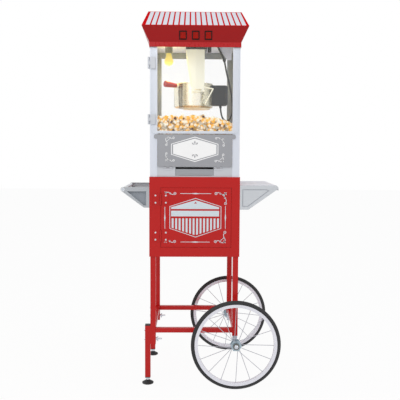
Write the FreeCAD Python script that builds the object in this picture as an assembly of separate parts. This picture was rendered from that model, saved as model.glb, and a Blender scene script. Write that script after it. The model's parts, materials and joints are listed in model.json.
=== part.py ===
import FreeCAD, Part
import math
import os

# Popcorn cart: a glazed popping case on a steel cabinet, carried by four legs, two spoked wheels
# on the right and two levelling feet on the left.  Millimetres.  While it is modelled, x = 0 and
# y = 0 are the middle of the cabinet, z = 0 is the floor and the front faces -y.  The saved parts
# are moved along x so that the origin lies under the middle of the whole cart.

V = FreeCAD.Vector
UP = V(0, 0, 1)

# ---- clearances ----
running_fit = 0.05        # radial, pin in bore
hole_fit = 0.1            # radial, screw in hole
face_gap = 0.3            # between parts that pass each other
panel_gap = 1.0           # around a door or a drawer

# ---- cabinet ----
cabinet_width = 368.0
cabinet_depth = 411.0
cabinet_bottom = 533.0
cabinet_height = 326.0
sheet = 1.5
door_margin_left = 46.75
door_margin_right = 35.25
door_margin_bottom = 39.5
door_margin_top = 44.5
door_return = 12.0
door_hinge_inset = 45.5
door_hinge_length = 46.0
hinge_screw_offset = 14.6
hinge_leaf_width = 28.0

# ---- stand ----
leg_size = 22.0
leg_wall = 1.5
leg_inset = 4.0
leg_over_axle = 20.7
rail_size = 19.0
rail_over_leg_end = 13.0
foot_leg_below_rail = 48.0
foot_post_above_rail = 29.0
foot_post_bottom = 29.0
foot_pad_radius = 23.5
foot_stem_radius = 5.0
foot_nut_z = 17.0
foot_nut_radius = 9.0
upper_bolt_over_rail = 11.0
lower_bolt_under_rail = 28.0
bolt_radius = 3.0

# ---- wheels ----
wheel_radius = 182.3
tyre_height = 15.0
rim_height = 13.0
rim_half_width = 8.5
wheel_clear = 56.5        # from the cabinet's face to the wheel's middle
spoke_count = 16
spoke_phases = {-1: 0.0, 1: -0.2}   # turn of the front and rear wheel at rest, in spokes
spoke_radius = 1.2
hub_radius = 10.0
hub_half_length = 22.0
hub_flange_radius = 23.0
axle_radius = 6.0

# ---- push handle and shelf ----
handle_reach = 107.0
handle_drop = 42.0        # below the cabinet's top
bracket_drop = 83.0
push_bar_radius = 7.5
bar_eye_radius = 9.0
shelf_reach = 157.0
shelf_below_top = 33.0
shelf_drop = 99.0
cheek_thickness = 2.5
recess_depth = 12.0
recess_wall = 1.2
groove_width = 3.2
bracket_sheet = 2.0

# ---- popping case ----
case_side_inset = 2.5
case_front_inset = 7.5
base_height = 44.0
post_width = 30.0
post_wall = 1.5
glass = 3.5
case_height = 556.0
sill_height = 11.5
top_rail_height = 22.0
flap_height = 130.5
flap_ear_reach = 14.5
drawer_width = 153.0
drawer_centre_x = -1.0
drawer_front_height = 25.5
drawer_depth = 240.0

# ---- canopy and roof ----
skirt_drop = 37.0
skirt_height = 19.0
rear_skirt_rise = 11.5    # the skirt's back ends level with the top rail
flare_rise = 60.0
rim_overhang_x = 28.5
rim_overhang_y = 28.0
roof_rise = 103.0
ridge_inset = 12.5
switch_spacing = 50.5
switch_width = 30.0
switch_height = 36.0

# ---- kettle and drive ----
kettle_x = -5.5
kettle_radius = 83.5
kettle_height = 100.0
kettle_rim_drop = 166.0   # rim below the ceiling
kettle_wall = 1.5
kettle_floor = 2.5
pivot_x = 1.0
pivot_below_rim = 3.0
arm_clear = 12.5          # from the kettle's wall to the column's arms
column_right = 40.0
column_left = -37.0
column_left_low = -14.0
drive_radius = 5.0
grip_clear = 6.5
grip_length = 57.0
cover_half_width = 29.0
grip_angle = 215.0        # degrees from +x, seen from above
cord_diameter = 7.0

# ---- contents ----
popcorn_shell = 6.0
heap_below_kettle = 74.0
heap_ridge = 32.0

# ---- derived levels and faces ----
half_w = cabinet_width / 2
half_d = cabinet_depth / 2
cabinet_top_z = cabinet_bottom + cabinet_height
door_width = cabinet_width - door_margin_left - door_margin_right
door_height = cabinet_height - door_margin_bottom - door_margin_top
door_centre_x = (door_margin_left - door_margin_right) / 2
door_centre_z = cabinet_bottom + door_margin_bottom + door_height / 2
door_hinge_spacing = door_height - 2 * door_hinge_inset
wheel_leg_bottom = wheel_radius + leg_over_axle
rail_bottom = wheel_leg_bottom + rail_over_leg_end
foot_leg_bottom = rail_bottom - foot_leg_below_rail
foot_post_top = rail_bottom + foot_post_above_rail
upper_bolt_z = rail_bottom + upper_bolt_over_rail
lower_bolt_z = rail_bottom - lower_bolt_under_rail
wheel_plane = half_d + wheel_clear
handle_top = cabinet_top_z - handle_drop
shelf_top = cabinet_top_z - shelf_below_top
leg_x = half_w - leg_inset - leg_size / 2
leg_y = half_d - leg_inset - leg_size / 2
case_x = half_w - case_side_inset
case_y = half_d - case_front_inset
deck_z = cabinet_top_z + base_height
ceiling_z = cabinet_top_z + case_height
skirt_z = ceiling_z - skirt_drop
flare_z = skirt_z + skirt_height
rim_z = flare_z + flare_rise
rim_x = half_w + rim_overhang_x
rim_y = half_d + rim_overhang_y
ridge_z = rim_z + roof_rise
ridge_half_length = rim_x - ridge_inset
sill_bottom = flap_height
post_inner_x = case_x - post_width
post_inner_y = case_y - post_width
kettle_rim_z = ceiling_z - kettle_rim_drop
kettle_bottom_z = kettle_rim_z - kettle_height
arm_inner_y = kettle_radius + arm_clear
grip_start = kettle_radius + grip_clear
pivot_z = kettle_rim_z - pivot_below_rim
motor_bottom_z = ceiling_z - 29.0
handle_x = -half_w - handle_reach
shelf_x = half_w + shelf_reach
origin_x = (handle_x - bar_eye_radius + leg_x + wheel_radius) / 2

os.makedirs("parts", exist_ok=True)


# ---- helpers ----
def block(x0, x1, y0, y1, z0, z1):
    """A box between two values on each axis, given in either order."""
    xs, ys, zs = sorted((x0, x1)), sorted((y0, y1)), sorted((z0, z1))
    return Part.makeBox(xs[1] - xs[0], ys[1] - ys[0], zs[1] - zs[0], V(xs[0], ys[0], zs[0]))


def rod(start, end, radius, end_radius=None):
    """A round bar, or a cone, from one point to another."""
    axis = end.sub(start)
    if end_radius is None:
        return Part.makeCylinder(radius, axis.Length, start, axis)
    return Part.makeCone(radius, end_radius, axis.Length, start, axis)


def prism(points, direction):
    """A polygon swept along a vector."""
    return Part.Face(Part.makePolygon(points + points[:1])).extrude(direction)


def plate_xz(outline, y0, y1):
    return prism([V(x, y0, z) for x, z in outline], V(0, y1 - y0, 0))


def plate_xy(outline, z0, z1):
    return prism([V(x, y, z0) for x, y in outline], V(0, 0, z1 - z0))


def fuse(shapes):
    joined = shapes[0].multiFuse(shapes[1:]) if len(shapes) > 1 else shapes[0]
    return joined.removeSplitter()


def cut(shape, tools):
    return shape.cut(Part.makeCompound(tools)) if tools else shape


def flip_x(shape):
    return shape.mirror(V(0, 0, 0), V(1, 0, 0))


def flip_y(shape):
    return shape.mirror(V(0, 0, 0), V(0, 1, 0))


def both_y(shape):
    return [shape, flip_y(shape)]


def square_tube(centre_x, centre_y, z0, z1, size, wall):
    h, g = size / 2, size / 2 - wall
    outer = block(centre_x - h, centre_x + h, centre_y - h, centre_y + h, z0, z1)
    return outer.cut(block(centre_x - g, centre_x + g, centre_y - g, centre_y + g, z0 - 1, z1 + 1))


def screw(seat, along, head_radius, head_height, shank_radius, shank_length):
    """A round-headed screw: its head stands on `seat` and its shank runs along `along`."""
    head = rod(seat, seat - along * head_height, head_radius, head_radius * 0.72)
    return fuse([head, rod(seat, seat + along * shank_length, shank_radius)])


def screw_hole(seat, along, shank_radius, shank_length):
    return rod(seat - along, seat + along * (shank_length + 1), shank_radius + hole_fit)


def hex_prism(centre, along, radius, length):
    """A six-sided nut or bolt head that starts at `centre`."""
    side = along.cross(UP if abs(along.z) < 0.5 else V(1, 0, 0)).normalize()
    turn = [FreeCAD.Rotation(along, 60 * i).multVec(side * radius) for i in range(6)]
    return prism([centre + t for t in turn], along * length)


def knuckles(start, along, length, radius, pin_radius):
    """Two fixed knuckles on their pin, and the moving knuckle between them."""
    third = length / 3

    def barrel(a, b, r):
        return rod(start + along * a, start + along * b, r)

    fixed = fuse([barrel(0, length, pin_radius), barrel(0, third - face_gap, radius),
                  barrel(2 * third + face_gap, length, radius)])
    moving = barrel(third, 2 * third, radius).cut(barrel(0, length, pin_radius + running_fit))
    return fixed, moving


def save(node, *shapes):
    """Write one sub-part, moved so that the origin is under the middle of the cart."""
    solids = [s for shape in shapes for s in shape.Solids]
    for s in solids:
        if not s.isValid() or s.Volume <= 0:
            raise ValueError(node + " holds a bad solid")
        s.translate(V(-origin_x, 0, 0))
    result = solids[0] if len(solids) == 1 else Part.makeCompound(solids)
    result.exportStep("parts/" + node + ".step")
    print(node, len(solids), "solid(s)", round(sum(s.Volume for s in solids) / 1000, 1), "cm3")


# ---- stand: legs, rails, foot posts ----
def bolt_points():
    """Where the foot posts are bolted to the left legs: outer face, height and bolt length."""
    outer = -leg_x - leg_size / 2 - leg_size
    long_bolt = 2 * leg_size + 25.0
    short_bolt = 2 * leg_size - leg_wall - 1.0
    return [(V(outer, sy * leg_y, z), length) for sy in (-1, 1)
            for z, length in ((upper_bolt_z, short_bolt), (lower_bolt_z, long_bolt))]


def make_stand():
    top = cabinet_top_z - sheet
    holes = [screw_hole(p, V(1, 0, 0), bolt_radius, n) for p, n in bolt_points()]
    legs = []
    for sy in (-1, 1):
        legs.append(cut(square_tube(-leg_x, sy * leg_y, foot_leg_bottom, top, leg_size, leg_wall), holes))
        legs.append(square_tube(leg_x, sy * leg_y, wheel_leg_bottom, top, leg_size, leg_wall))
    save("legs", *legs)

    h, g = rail_size / 2, rail_size / 2 - leg_wall
    z0, z1 = rail_bottom, rail_bottom + rail_size
    end_x, end_y = leg_x - leg_size / 2, leg_y - leg_size / 2
    rails = []
    for s in (-1, 1):
        along_x = block(-end_x, end_x, s * leg_y - h, s * leg_y + h, z0, z1)
        rails.append(along_x.cut(block(-end_x - 1, end_x + 1, s * leg_y - g, s * leg_y + g,
                                       z0 + leg_wall, z1 - leg_wall)))
        along_y = block(s * leg_x - h, s * leg_x + h, -end_y, end_y, z0, z1)
        rails.append(along_y.cut(block(s * leg_x - g, s * leg_x + g, -end_y - 1, end_y + 1,
                                       z0 + leg_wall, z1 - leg_wall)))
    save("lower_rails", *rails)

    post_x = -leg_x - leg_size
    save("foot_posts", *[cut(square_tube(post_x, s * leg_y, foot_post_bottom, foot_post_top,
                                         leg_size, leg_wall), holes) for s in (-1, 1)])
    save("foot_post_caps", *[cap for s in (-1, 1) for cap in post_plugs(post_x, s * leg_y)])
    save("foot_post_bolts", *[part for p, n in bolt_points() for part in foot_bolt(p, n)])
    for name, s in (("front", -1), ("rear", 1)):
        save("levelling_foot_" + name, levelling_foot(post_x, s * leg_y))


def post_plugs(x, y):
    """The domed cap on top of a foot post and the threaded plug in its lower end."""
    inner = leg_size / 2 - leg_wall - hole_fit
    half = leg_size / 2
    cap = fuse([block(x - half, x + half, y - half, y + half, foot_post_top, foot_post_top + 4.0),
                block(x - inner, x + inner, y - inner, y + inner, foot_post_top - 14.0, foot_post_top)])
    cap = cap.makeFillet(1.5, [e for e in cap.Edges if e.BoundBox.ZMin > foot_post_top + 3.5])
    plug = fuse([block(x - half, x + half, y - half, y + half, foot_post_bottom - 3.0, foot_post_bottom),
                 block(x - inner, x + inner, y - inner, y + inner, foot_post_bottom,
                       foot_post_bottom + 22.0)])
    bore = rod(V(x, y, foot_post_bottom - 4), V(x, y, foot_post_bottom + 23),
               foot_stem_radius + running_fit)
    return [cap, plug.cut(bore)]


def foot_bolt(seat, length):
    """A hexagon bolt through post and leg, with a wing nut where its end comes out of the leg."""
    along = V(1, 0, 0)
    bolt = fuse([hex_prism(seat - along * 4.0, along, 5.8, 4.0),
                 rod(seat, seat + along * length, bolt_radius)])
    if length < 2 * leg_size:
        return [bolt]
    start = seat + along * (2 * leg_size + 0.05)
    x, y, z = start.x, start.y, start.z
    wings = [prism([V(x + 1, y - 1.2, z), V(x + 6, y - 1.2, z), V(x + 11, y - 1.2, z + s * 9),
                    V(x + 6, y - 1.2, z + s * 11)], V(0, 2.4, 0)) for s in (-1, 1)]
    nut = fuse([rod(start, start + along * 7.5, 6.0, 5.0)] + wings)
    return [bolt, nut.cut(rod(start - along, start + along * 9, bolt_radius + hole_fit))]


def levelling_foot(x, y):
    pad = rod(V(x, y, 0), V(x, y, 5.0), foot_pad_radius)
    dome = rod(V(x, y, 5.0), V(x, y, 13.0), foot_pad_radius, 10.0)
    collar = rod(V(x, y, 13.0), V(x, y, foot_nut_z), 8.0)
    nut = hex_prism(V(x, y, foot_nut_z), UP, foot_nut_radius,
                    foot_post_bottom - 3.0 - face_gap - foot_nut_z)
    stem = rod(V(x, y, 20.0), V(x, y, foot_post_bottom + 40.0), foot_stem_radius)
    body = fuse([pad, dome, collar])
    body = body.makeFillet(2.0, [e for e in body.Edges if abs(e.BoundBox.ZMax) < 0.01])
    return fuse([body, nut, stem])


# ---- wheels and their axles ----
def turned(profile, centre):
    """A ring or hub turned about the wheel axis from (radius, offset along the axis) points."""
    points = [V(r, a, 0) for r, a in profile]
    face = Part.Face(Part.makePolygon(points + points[:1]))
    body = face.revolve(V(0, 0, 0), V(0, 1, 0), 360)
    body.translate(centre)
    return body


def make_axles():
    """Plug-in brackets below the right legs, with a shouldered axle, washer and cap nut each."""
    inner = leg_size / 2 - leg_wall - hole_fit
    outward = V(0, -1, 0)
    inner_hub, outer_hub = wheel_plane - hub_half_length, wheel_plane + hub_half_length
    tongue = block(leg_x - inner, leg_x + inner, -leg_y - inner, -leg_y + inner,
                   wheel_radius - 17.0, wheel_leg_bottom + 34.0)
    tongue = tongue.makeFillet(3.0, [e for e in tongue.Edges if e.BoundBox.ZMax < wheel_radius - 16.0])

    def on_axle(y):
        return V(leg_x, -y, wheel_radius)

    axle = fuse([hex_prism(on_axle(leg_y - inner), V(0, 1, 0), 9.0, 6.0),
                 rod(on_axle(leg_y - inner - 1), on_axle(outer_hub + 8.0), axle_radius),
                 rod(on_axle(leg_y + inner), on_axle(inner_hub - face_gap), 9.0)])
    tongue = tongue.cut(rod(on_axle(leg_y - inner - 2), on_axle(leg_y + inner + 2), axle_radius + hole_fit))
    seat = outer_hub + face_gap
    washer = rod(on_axle(seat), on_axle(seat + 2.5), 13.0)
    washer = washer.cut(rod(on_axle(seat - 1), on_axle(seat + 4), axle_radius + hole_fit))
    nut = fuse([hex_prism(on_axle(seat + 2.6), outward, 8.8, 4.5),
                rod(on_axle(seat + 7.1), on_axle(seat + 11.0), 8.0, 4.0)])
    nut = nut.cut(rod(on_axle(seat), on_axle(outer_hub + 8.2), axle_radius + hole_fit))
    save("axle_brackets", *[s for part in (tongue, axle, washer, nut) for s in both_y(part)])


def wheel_parts(side):
    """Tyre, rim, spokes and hub of one wheel; side is -1 for the front wheel, +1 for the rear."""
    centre = V(leg_x, side * wheel_plane, wheel_radius)
    seat_r = wheel_radius - tyre_height
    rim_in = seat_r - rim_height
    w = rim_half_width
    rim = turned([(rim_in, -w + 2), (rim_in, w - 2), (seat_r, w), (seat_r, w - 1.8), (rim_in + 3, w - 3.8),
                  (rim_in + 3, -w + 3.8), (seat_r, -w + 1.8), (seat_r, -w)], centre)
    tread = [(seat_r + 0.2 + (tyre_height - 0.2) * math.sin(math.radians(t)), w * math.cos(math.radians(t)))
             for t in range(0, 181, 15)]
    bead = [(seat_r + 0.2, -w + 2.2), (seat_r - 7.0, -w + 3.2), (seat_r - 7.0, w - 3.2),
            (seat_r + 0.2, w - 2.2)]
    tyre = turned(tread + bead, centre)

    hub = turned([(axle_radius + running_fit, -hub_half_length),
                  (axle_radius + running_fit, hub_half_length),
                  (hub_radius, hub_half_length), (hub_radius, -hub_half_length)], centre)
    flanges = []
    for a in (-14.0, 14.0):
        flange = hex_prism(centre + V(0, a - 1.5, 0), V(0, 1, 0), hub_flange_radius, 3.0)
        flanges.append(flange.cut(rod(centre + V(0, a - 2, 0), centre + V(0, a + 2, 0), hub_radius - 1)))
    hub = fuse([hub] + flanges)
    return tyre, rim, spokes(centre, rim_in, spoke_phases[side]), hub


def spokes(centre, rim_in, phase):
    """Thin spokes, laced a little off the radius and in turn to the inner and outer hub flange."""
    lean = math.radians(17)
    wires = []
    for i in range(spoke_count):
        turn = 2 * math.pi * (i + phase) / spoke_count
        slant = lean if i % 4 < 2 else -lean
        flange = 14.0 if i % 2 else -14.0
        across_flat = math.radians(math.degrees(turn + slant) % 60 - 30)
        start_r = hub_flange_radius * math.cos(math.radians(30)) / math.cos(across_flat) + 1.0
        start = V(start_r * math.cos(turn + slant), flange, start_r * math.sin(turn + slant))
        end = V((rim_in - 0.3) * math.cos(turn), flange * 0.25, (rim_in - 0.3) * math.sin(turn))
        wires.append(rod(centre + start, centre + end, spoke_radius))
    return Part.makeCompound(wires)


def make_wheels():
    make_axles()
    for name, side in (("front", -1), ("rear", 1)):
        tyre, rim, wires, hub = wheel_parts(side)
        save(name + "_tyre", tyre)
        save(name + "_rim", rim)
        save(name + "_spokes", wires)
        save(name + "_hub", hub)


# ---- cabinet ----
hinge_x = door_centre_x - door_width / 2 - panel_gap / 2
hinge_y = -half_d - 3.8
hinge_zs = [door_centre_z + s * door_hinge_spacing / 2 for s in (-1, 1)]


def leaf_screws(x):
    """Seats of the screws through one column of hinge leaves."""
    return [V(x, -half_d - sheet, z + s * hinge_screw_offset) for z in hinge_zs for s in (-1, 1)]


fixed_screws = leaf_screws(hinge_x - hinge_leaf_width * 0.75)
moving_screws = leaf_screws(hinge_x + hinge_leaf_width * 0.75)
side_bolt_y = half_d - 55.5
BACK = V(0, 1, 0)


def door_holes(seats):
    return [screw_hole(p, BACK, 2.0, 5.0) for p in seats]


def side_bolt_seats(side, z_low, z_high):
    """Bolts that hold a side bracket's back plate to the cabinet wall."""
    x = side * (half_w + bracket_sheet)
    return [V(x, sy * side_bolt_y, z) for sy in (-1, 1) for z in (z_low, z_high)]


handle_bolts = side_bolt_seats(-1, handle_top - bracket_drop + 18.0, handle_top - 20.0)
shelf_bolts = side_bolt_seats(1, shelf_top - shelf_drop + 25.0, shelf_top - 29.0)


def make_cabinet():
    z0, z1 = cabinet_bottom, cabinet_top_z
    ox, oz = door_width / 2 + panel_gap, door_height / 2 + panel_gap
    front = block(-half_w, half_w, -half_d, -half_d + sheet, z0, z1)
    opening = block(door_centre_x - ox, door_centre_x + ox, -half_d - 1, -half_d + sheet + 1,
                    door_centre_z - oz, door_centre_z + oz)
    save("cabinet_front", cut(front, [opening] + door_holes(fixed_screws)))

    inner = half_w - sheet
    wrap = block(-half_w, half_w, -half_d + sheet, half_d, z0, z1)
    wrap = wrap.cut(block(-inner, inner, -half_d, half_d - sheet, z0 - 1, z1 + 1))
    corners = [e for e in wrap.Edges if e.BoundBox.ZLength > cabinet_height - 1
               and e.BoundBox.YMin > half_d - 0.1 and abs(e.BoundBox.XMax) > half_w - 0.1]
    wrap = wrap.makeFillet(2.5, corners)
    bolt_holes = [screw_hole(p, V(1, 0, 0), bolt_radius, 8.0) for p in handle_bolts]
    bolt_holes += [screw_hole(p, V(-1, 0, 0), bolt_radius, 8.0) for p in shelf_bolts]
    save("cabinet_wrap", cut(wrap, bolt_holes))

    notch = leg_size / 2 + face_gap
    deep = half_d - sheet
    legs = [block(sx * (leg_x - notch), sx * (inner + 1), sy * (leg_y - notch), sy * (deep + 1),
                  z0 - 1, z0 + 30)
            for sx in (-1, 1) for sy in (-1, 1)]
    tray = block(-inner, inner, -deep, deep, z0, z0 + 15.0)
    tray = tray.cut(block(-inner + sheet, inner - sheet, -deep + sheet, deep - sheet, z0 + sheet, z0 + 16))
    save("cabinet_floor", cut(tray, legs))
    save("cabinet_top", block(-inner, inner, -deep, deep, z1 - sheet, z1))
    make_cabinet_door()

    catch_x, magnet_x = leg_x - leg_size / 2, door_centre_x + door_width / 2 - 6.0
    front_y = -half_d + door_return + face_gap
    magnet = block(magnet_x, catch_x, front_y, front_y + 14.0, door_centre_z - 14.0, door_centre_z + 14.0)
    corners = [e for e in magnet.Edges if e.BoundBox.XMax < magnet_x + 0.1]
    save("door_catch", magnet.makeFillet(1.5, corners))


def make_cabinet_door():
    """A folded tray door set flush in the front, on two face hinges at its left edge."""
    w, h = door_width / 2, door_height / 2
    x0, x1 = door_centre_x - w, door_centre_x + w
    z0, z1 = door_centre_z - h, door_centre_z + h
    tray = block(x0, x1, -half_d, -half_d + door_return, z0, z1)
    tray = tray.cut(block(x0 + sheet, x1 - sheet, -half_d + sheet, -half_d + door_return + 1,
                          z0 + sheet, z1 - sheet))
    save("cabinet_door", cut(tray, door_holes(moving_screws)))

    clear = 4.3
    third = door_hinge_length / 3
    fixed, moving = [], []
    for z in hinge_zs:
        low = z - door_hinge_length / 2
        pins, middle = knuckles(V(hinge_x, hinge_y, low), UP, door_hinge_length, 3.2, 1.5)
        face = (-half_d - sheet, -half_d)
        leaf = block(hinge_x - hinge_leaf_width - clear, hinge_x - clear, *face, low,
                     low + door_hinge_length)
        tabs = [block(hinge_x - clear, hinge_x, *face, low + a, low + b)
                for a, b in ((0, third - face_gap), (2 * third + face_gap, 3 * third))]
        fixed.append(cut(fuse([leaf, pins] + tabs), door_holes(fixed_screws)))
        leaf = block(hinge_x + clear, hinge_x + hinge_leaf_width + clear, *face, low,
                     low + door_hinge_length)
        tab = block(hinge_x, hinge_x + clear, *face, low + third, low + 2 * third)
        tab = tab.cut(rod(V(hinge_x, hinge_y, low), V(hinge_x, hinge_y, low + 60), 1.5 + running_fit))
        moving.append(cut(fuse([leaf, middle, tab]), door_holes(moving_screws)))
    save("cabinet_hinge_leaves", *fixed, *[screw(p, BACK, 4.2, 2.2, 2.0, 5.0) for p in fixed_screws])
    save("door_hinge_leaves", *moving, *[screw(p, BACK, 4.2, 2.2, 2.0, 5.0) for p in moving_screws])


# ---- push handle on the left, shelf on the right ----
def tangent_point(corner, centre, radius):
    """Where the lower tangent from `corner` meets the circle, in the x-z plane."""
    dx, dz = centre[0] - corner[0], centre[1] - corner[1]
    reach = math.hypot(dx, dz)
    angle = math.atan2(dz, dx) + math.asin(radius / reach)
    length = math.sqrt(reach ** 2 - radius ** 2)
    return corner[0] + length * math.cos(angle), corner[1] + length * math.sin(angle)


def grown(points, distance):
    """A convex outline with every side moved outwards by a distance."""
    cx = sum(p[0] for p in points) / len(points)
    cz = sum(p[1] for p in points) / len(points)
    sides = []
    for (x0, z0), (x1, z1) in zip(points, points[1:] + points[:1]):
        length = math.hypot(x1 - x0, z1 - z0)
        nx, nz = (z1 - z0) / length, (x0 - x1) / length
        if nx * (x0 - cx) + nz * (z0 - cz) < 0:
            nx, nz = -nx, -nz
        sides.append((nx, nz, nx * x0 + nz * z0 + distance))
    corners = []
    for (a, b, c), (d, e, f) in zip(sides[-1:] + sides[:-1], sides):
        det = a * e - b * d
        corners.append(((c * e - b * f) / det, (a * f - c * d) / det))
    return corners


def make_handle():
    low, foot_x = handle_top - bracket_drop, -half_w - 22.0
    eye = (handle_x, handle_top - bar_eye_radius)
    tangent = tangent_point((foot_x, low), eye, bar_eye_radius)
    outer_y, inner_y = -half_d, -half_d + cheek_thickness
    outline = [(-half_w, handle_top), (handle_x, handle_top), tangent, (foot_x, low), (-half_w, low)]
    disc = rod(V(eye[0], outer_y, eye[1]), V(eye[0], inner_y, eye[1]), bar_eye_radius)
    cheek = fuse([plate_xz(outline, outer_y, inner_y), disc])
    pocket = [(-half_w - 13, handle_top - 17), (handle_x + 17, handle_top - 17), (-half_w - 22, low + 9),
              (-half_w - 13, low + 9)]
    tub = plate_xz(grown(pocket, recess_wall), outer_y, outer_y + recess_depth)
    cheek = fuse([cheek, tub]).cut(plate_xz(pocket, outer_y - 1, outer_y + recess_depth - recess_wall))
    flange = plate_xz([(foot_x, low), tangent, (tangent[0] + 1.2, tangent[1] + 1.6),
                       (foot_x + 0.6, low + 2.0)],
                      inner_y - 0.5, inner_y + 11.0)
    lip = block(handle_x + 4.0, -half_w, inner_y - 0.5, inner_y + 8.0, handle_top - 1.5, handle_top)
    back = block(-half_w - bracket_sheet, -half_w, outer_y, -outer_y, low, handle_top)
    bracket = fuse([back] + both_y(fuse([cheek, flange, lip])))
    bar_hole = rod(V(eye[0], -half_d - 1, eye[1]), V(eye[0], half_d + 1, eye[1]),
                   push_bar_radius + hole_fit)
    holes = [bar_hole] + [screw_hole(p, V(1, 0, 0), bolt_radius, 8.0) for p in handle_bolts]
    save("handle_bracket", cut(bracket, holes))

    bar_end = half_d + 1.5

    def on_bar(y):
        return V(eye[0], y, eye[1])

    bar = rod(on_bar(-bar_end), on_bar(bar_end), push_bar_radius)
    bar = bar.cut(rod(on_bar(-bar_end - 1), on_bar(bar_end + 1), push_bar_radius - 1.5))
    plug = fuse([rod(on_bar(-bar_end + 1.0), on_bar(-bar_end + 14.0), push_bar_radius - 1.5),
                 rod(on_bar(-bar_end), on_bar(-bar_end + 2.0), 3.2)])
    save("push_bar", bar, *both_y(plug))


def make_shelf():
    low, foot_x = shelf_top - shelf_drop, half_w + 35.0
    outer_y, inner_y = -half_d, -half_d + cheek_thickness
    nose = 8.0
    outline = [(half_w, shelf_top), (shelf_x - nose, shelf_top), (shelf_x, shelf_top - nose),
               (shelf_x, shelf_top - nose - 5.0), (foot_x, low), (half_w, low)]
    cheek = plate_xz(outline, outer_y, inner_y)
    pocket = [(half_w + 10, shelf_top - 16), (shelf_x - 48, shelf_top - 16), (shelf_x - 37, shelf_top - 21),
              (foot_x - 2, low + 12), (half_w + 10, low + 12)]
    groove = plate_xz(pocket, outer_y - 1, outer_y + 1.8)
    cheek = cheek.cut(groove.cut(plate_xz(grown(pocket, -groove_width), outer_y - 2, outer_y + 3)))
    top = plate_xz([(half_w, shelf_top), (shelf_x - nose, shelf_top), (shelf_x, shelf_top - nose),
                    (shelf_x, shelf_top - nose - 12.0), (shelf_x - 2.0, shelf_top - nose - 12.0),
                    (shelf_x - 2.0, shelf_top - nose - 0.8),
                    (shelf_x - nose - 0.8, shelf_top - bracket_sheet),
                    (half_w, shelf_top - bracket_sheet)], outer_y, -outer_y)
    top = top.common(fuse([top_limit(low), block(half_w, shelf_x, outer_y, -outer_y, shelf_top - 10,
                                                 shelf_top)]))
    back = block(half_w, half_w + bracket_sheet, outer_y, -outer_y, low, shelf_top)
    shelf = fuse([top, back] + both_y(cheek))
    save("side_shelf", cut(shelf, [screw_hole(p, V(-1, 0, 0), bolt_radius, 8.0) for p in shelf_bolts]))

    fasteners = []
    for seats, along in ((handle_bolts, V(1, 0, 0)), (shelf_bolts, V(-1, 0, 0))):
        for p in seats:
            fasteners.append(screw(p, along, 6.0, 3.5, bolt_radius, 12.0))
            nut_start = p + along * (bracket_sheet + sheet + 0.05)
            nut = hex_prism(nut_start, along, 5.8, 5.0)
            fasteners.append(nut.cut(rod(p, p + along * 20, bolt_radius + hole_fit)))
    save("side_fasteners", *fasteners)


def top_limit(low):
    """The shelf's front lip reaches no lower than the cheeks' sloping edge at its outer end."""
    return block(half_w, shelf_x, -half_d, half_d, low, shelf_top)


# ---- popping case ----
def make_case_base():
    """The case's base box with the drawer's opening and runners, and the perforated deck on it."""
    x, y = case_x - post_wall, case_y - post_wall
    z0 = cabinet_top_z
    shell = block(-x, x, -y, y, z0, deck_z)
    shell = shell.cut(block(-x + sheet, x - sheet, -y + sheet, y - sheet, z0 + sheet, deck_z + 1))
    dw = drawer_width / 2
    opening = block(drawer_centre_x - dw - panel_gap, drawer_centre_x + dw + panel_gap, -y - 1,
                    -y + sheet + 1,
                    drawer_z0 - panel_gap, deck_z - 4.0)
    runners = []
    for s in (-1, 1):
        side = drawer_centre_x + s * (dw - 5.0)
        foot = block(side - s * 7.0, side + s * 4.0, -y + sheet, -y + drawer_depth + 8.0, z0 + sheet,
                     drawer_z0 - face_gap)
        guide = block(side + s * 0.5, side + s * 4.0, -y + sheet, -y + drawer_depth + 8.0,
                      z0 + sheet, drawer_z0 + 14.0)
        runners += [foot, guide]
    save("case_base", fuse([shell.cut(opening)] + runners))

    deck = block(-x, x, -y, y, deck_z, deck_z + sheet)
    slots = [block(drawer_centre_x + 20 * i - 2.5, drawer_centre_x + 20 * i + 2.5, -y + 30 + 40 * j,
                   -y + 60 + 40 * j, deck_z - 1, deck_z + sheet + 1)
             for i in range(-3, 4) for j in range(5)]
    save("popcorn_deck", cut(deck, slots))


drawer_z0 = cabinet_top_z + 6.5


def make_drawer():
    y = -case_y + post_wall
    dw = drawer_width / 2
    front = block(drawer_centre_x - dw, drawer_centre_x + dw, y, y + sheet, drawer_z0,
                  drawer_z0 + drawer_front_height)
    bx = dw - 5.0
    tray = block(drawer_centre_x - bx, drawer_centre_x + bx, y + sheet / 2, y + drawer_depth, drawer_z0,
                 drawer_z0 + drawer_front_height - 1.0)
    hollow = block(drawer_centre_x - bx + 1.2, drawer_centre_x + bx - 1.2, y + sheet,
                   y + drawer_depth - 1.2,
                   drawer_z0 + 1.2, drawer_z0 + drawer_front_height + 5)
    save("crumb_drawer", fuse([front, tray]).cut(hollow))


def make_frame():
    """Four folded corner posts and the rails between them."""
    t = post_wall
    z0, z1 = cabinet_top_z, ceiling_z
    post = fuse([block(post_inner_x, case_x, -case_y, -case_y + t, z0, z1),
                 block(case_x - t, case_x, -case_y, -post_inner_y, z0, z1)])
    posts = both_y(post) + both_y(flip_x(post))
    sill_z = deck_z + sill_bottom
    sill = fuse([block(-post_inner_x, post_inner_x, -case_y, -case_y + t, sill_z, sill_z + sill_height),
                 block(-post_inner_x, post_inner_x, -case_y + t, -case_y + 8.0, sill_z + sill_height - t,
                       sill_z + sill_height)])
    top0, top1 = z1 - 1.0 - top_rail_height, z1 - 1.0
    low0, low1 = deck_z + sheet, deck_z + sheet + 22.0
    rails = [sill]
    rails += both_y(block(-post_inner_x, post_inner_x, -case_y, -case_y + t, top0, top1))
    rails.append(block(-post_inner_x, post_inner_x, case_y - t, case_y, low0, low1))
    for s in (-1, 1):
        for a, b in ((top0, top1), (low0, low1)):
            rails.append(block(s * (case_x - t), s * case_x, -post_inner_y, post_inner_y, a, b))
    save("case_frame", *posts, *rails)


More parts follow.
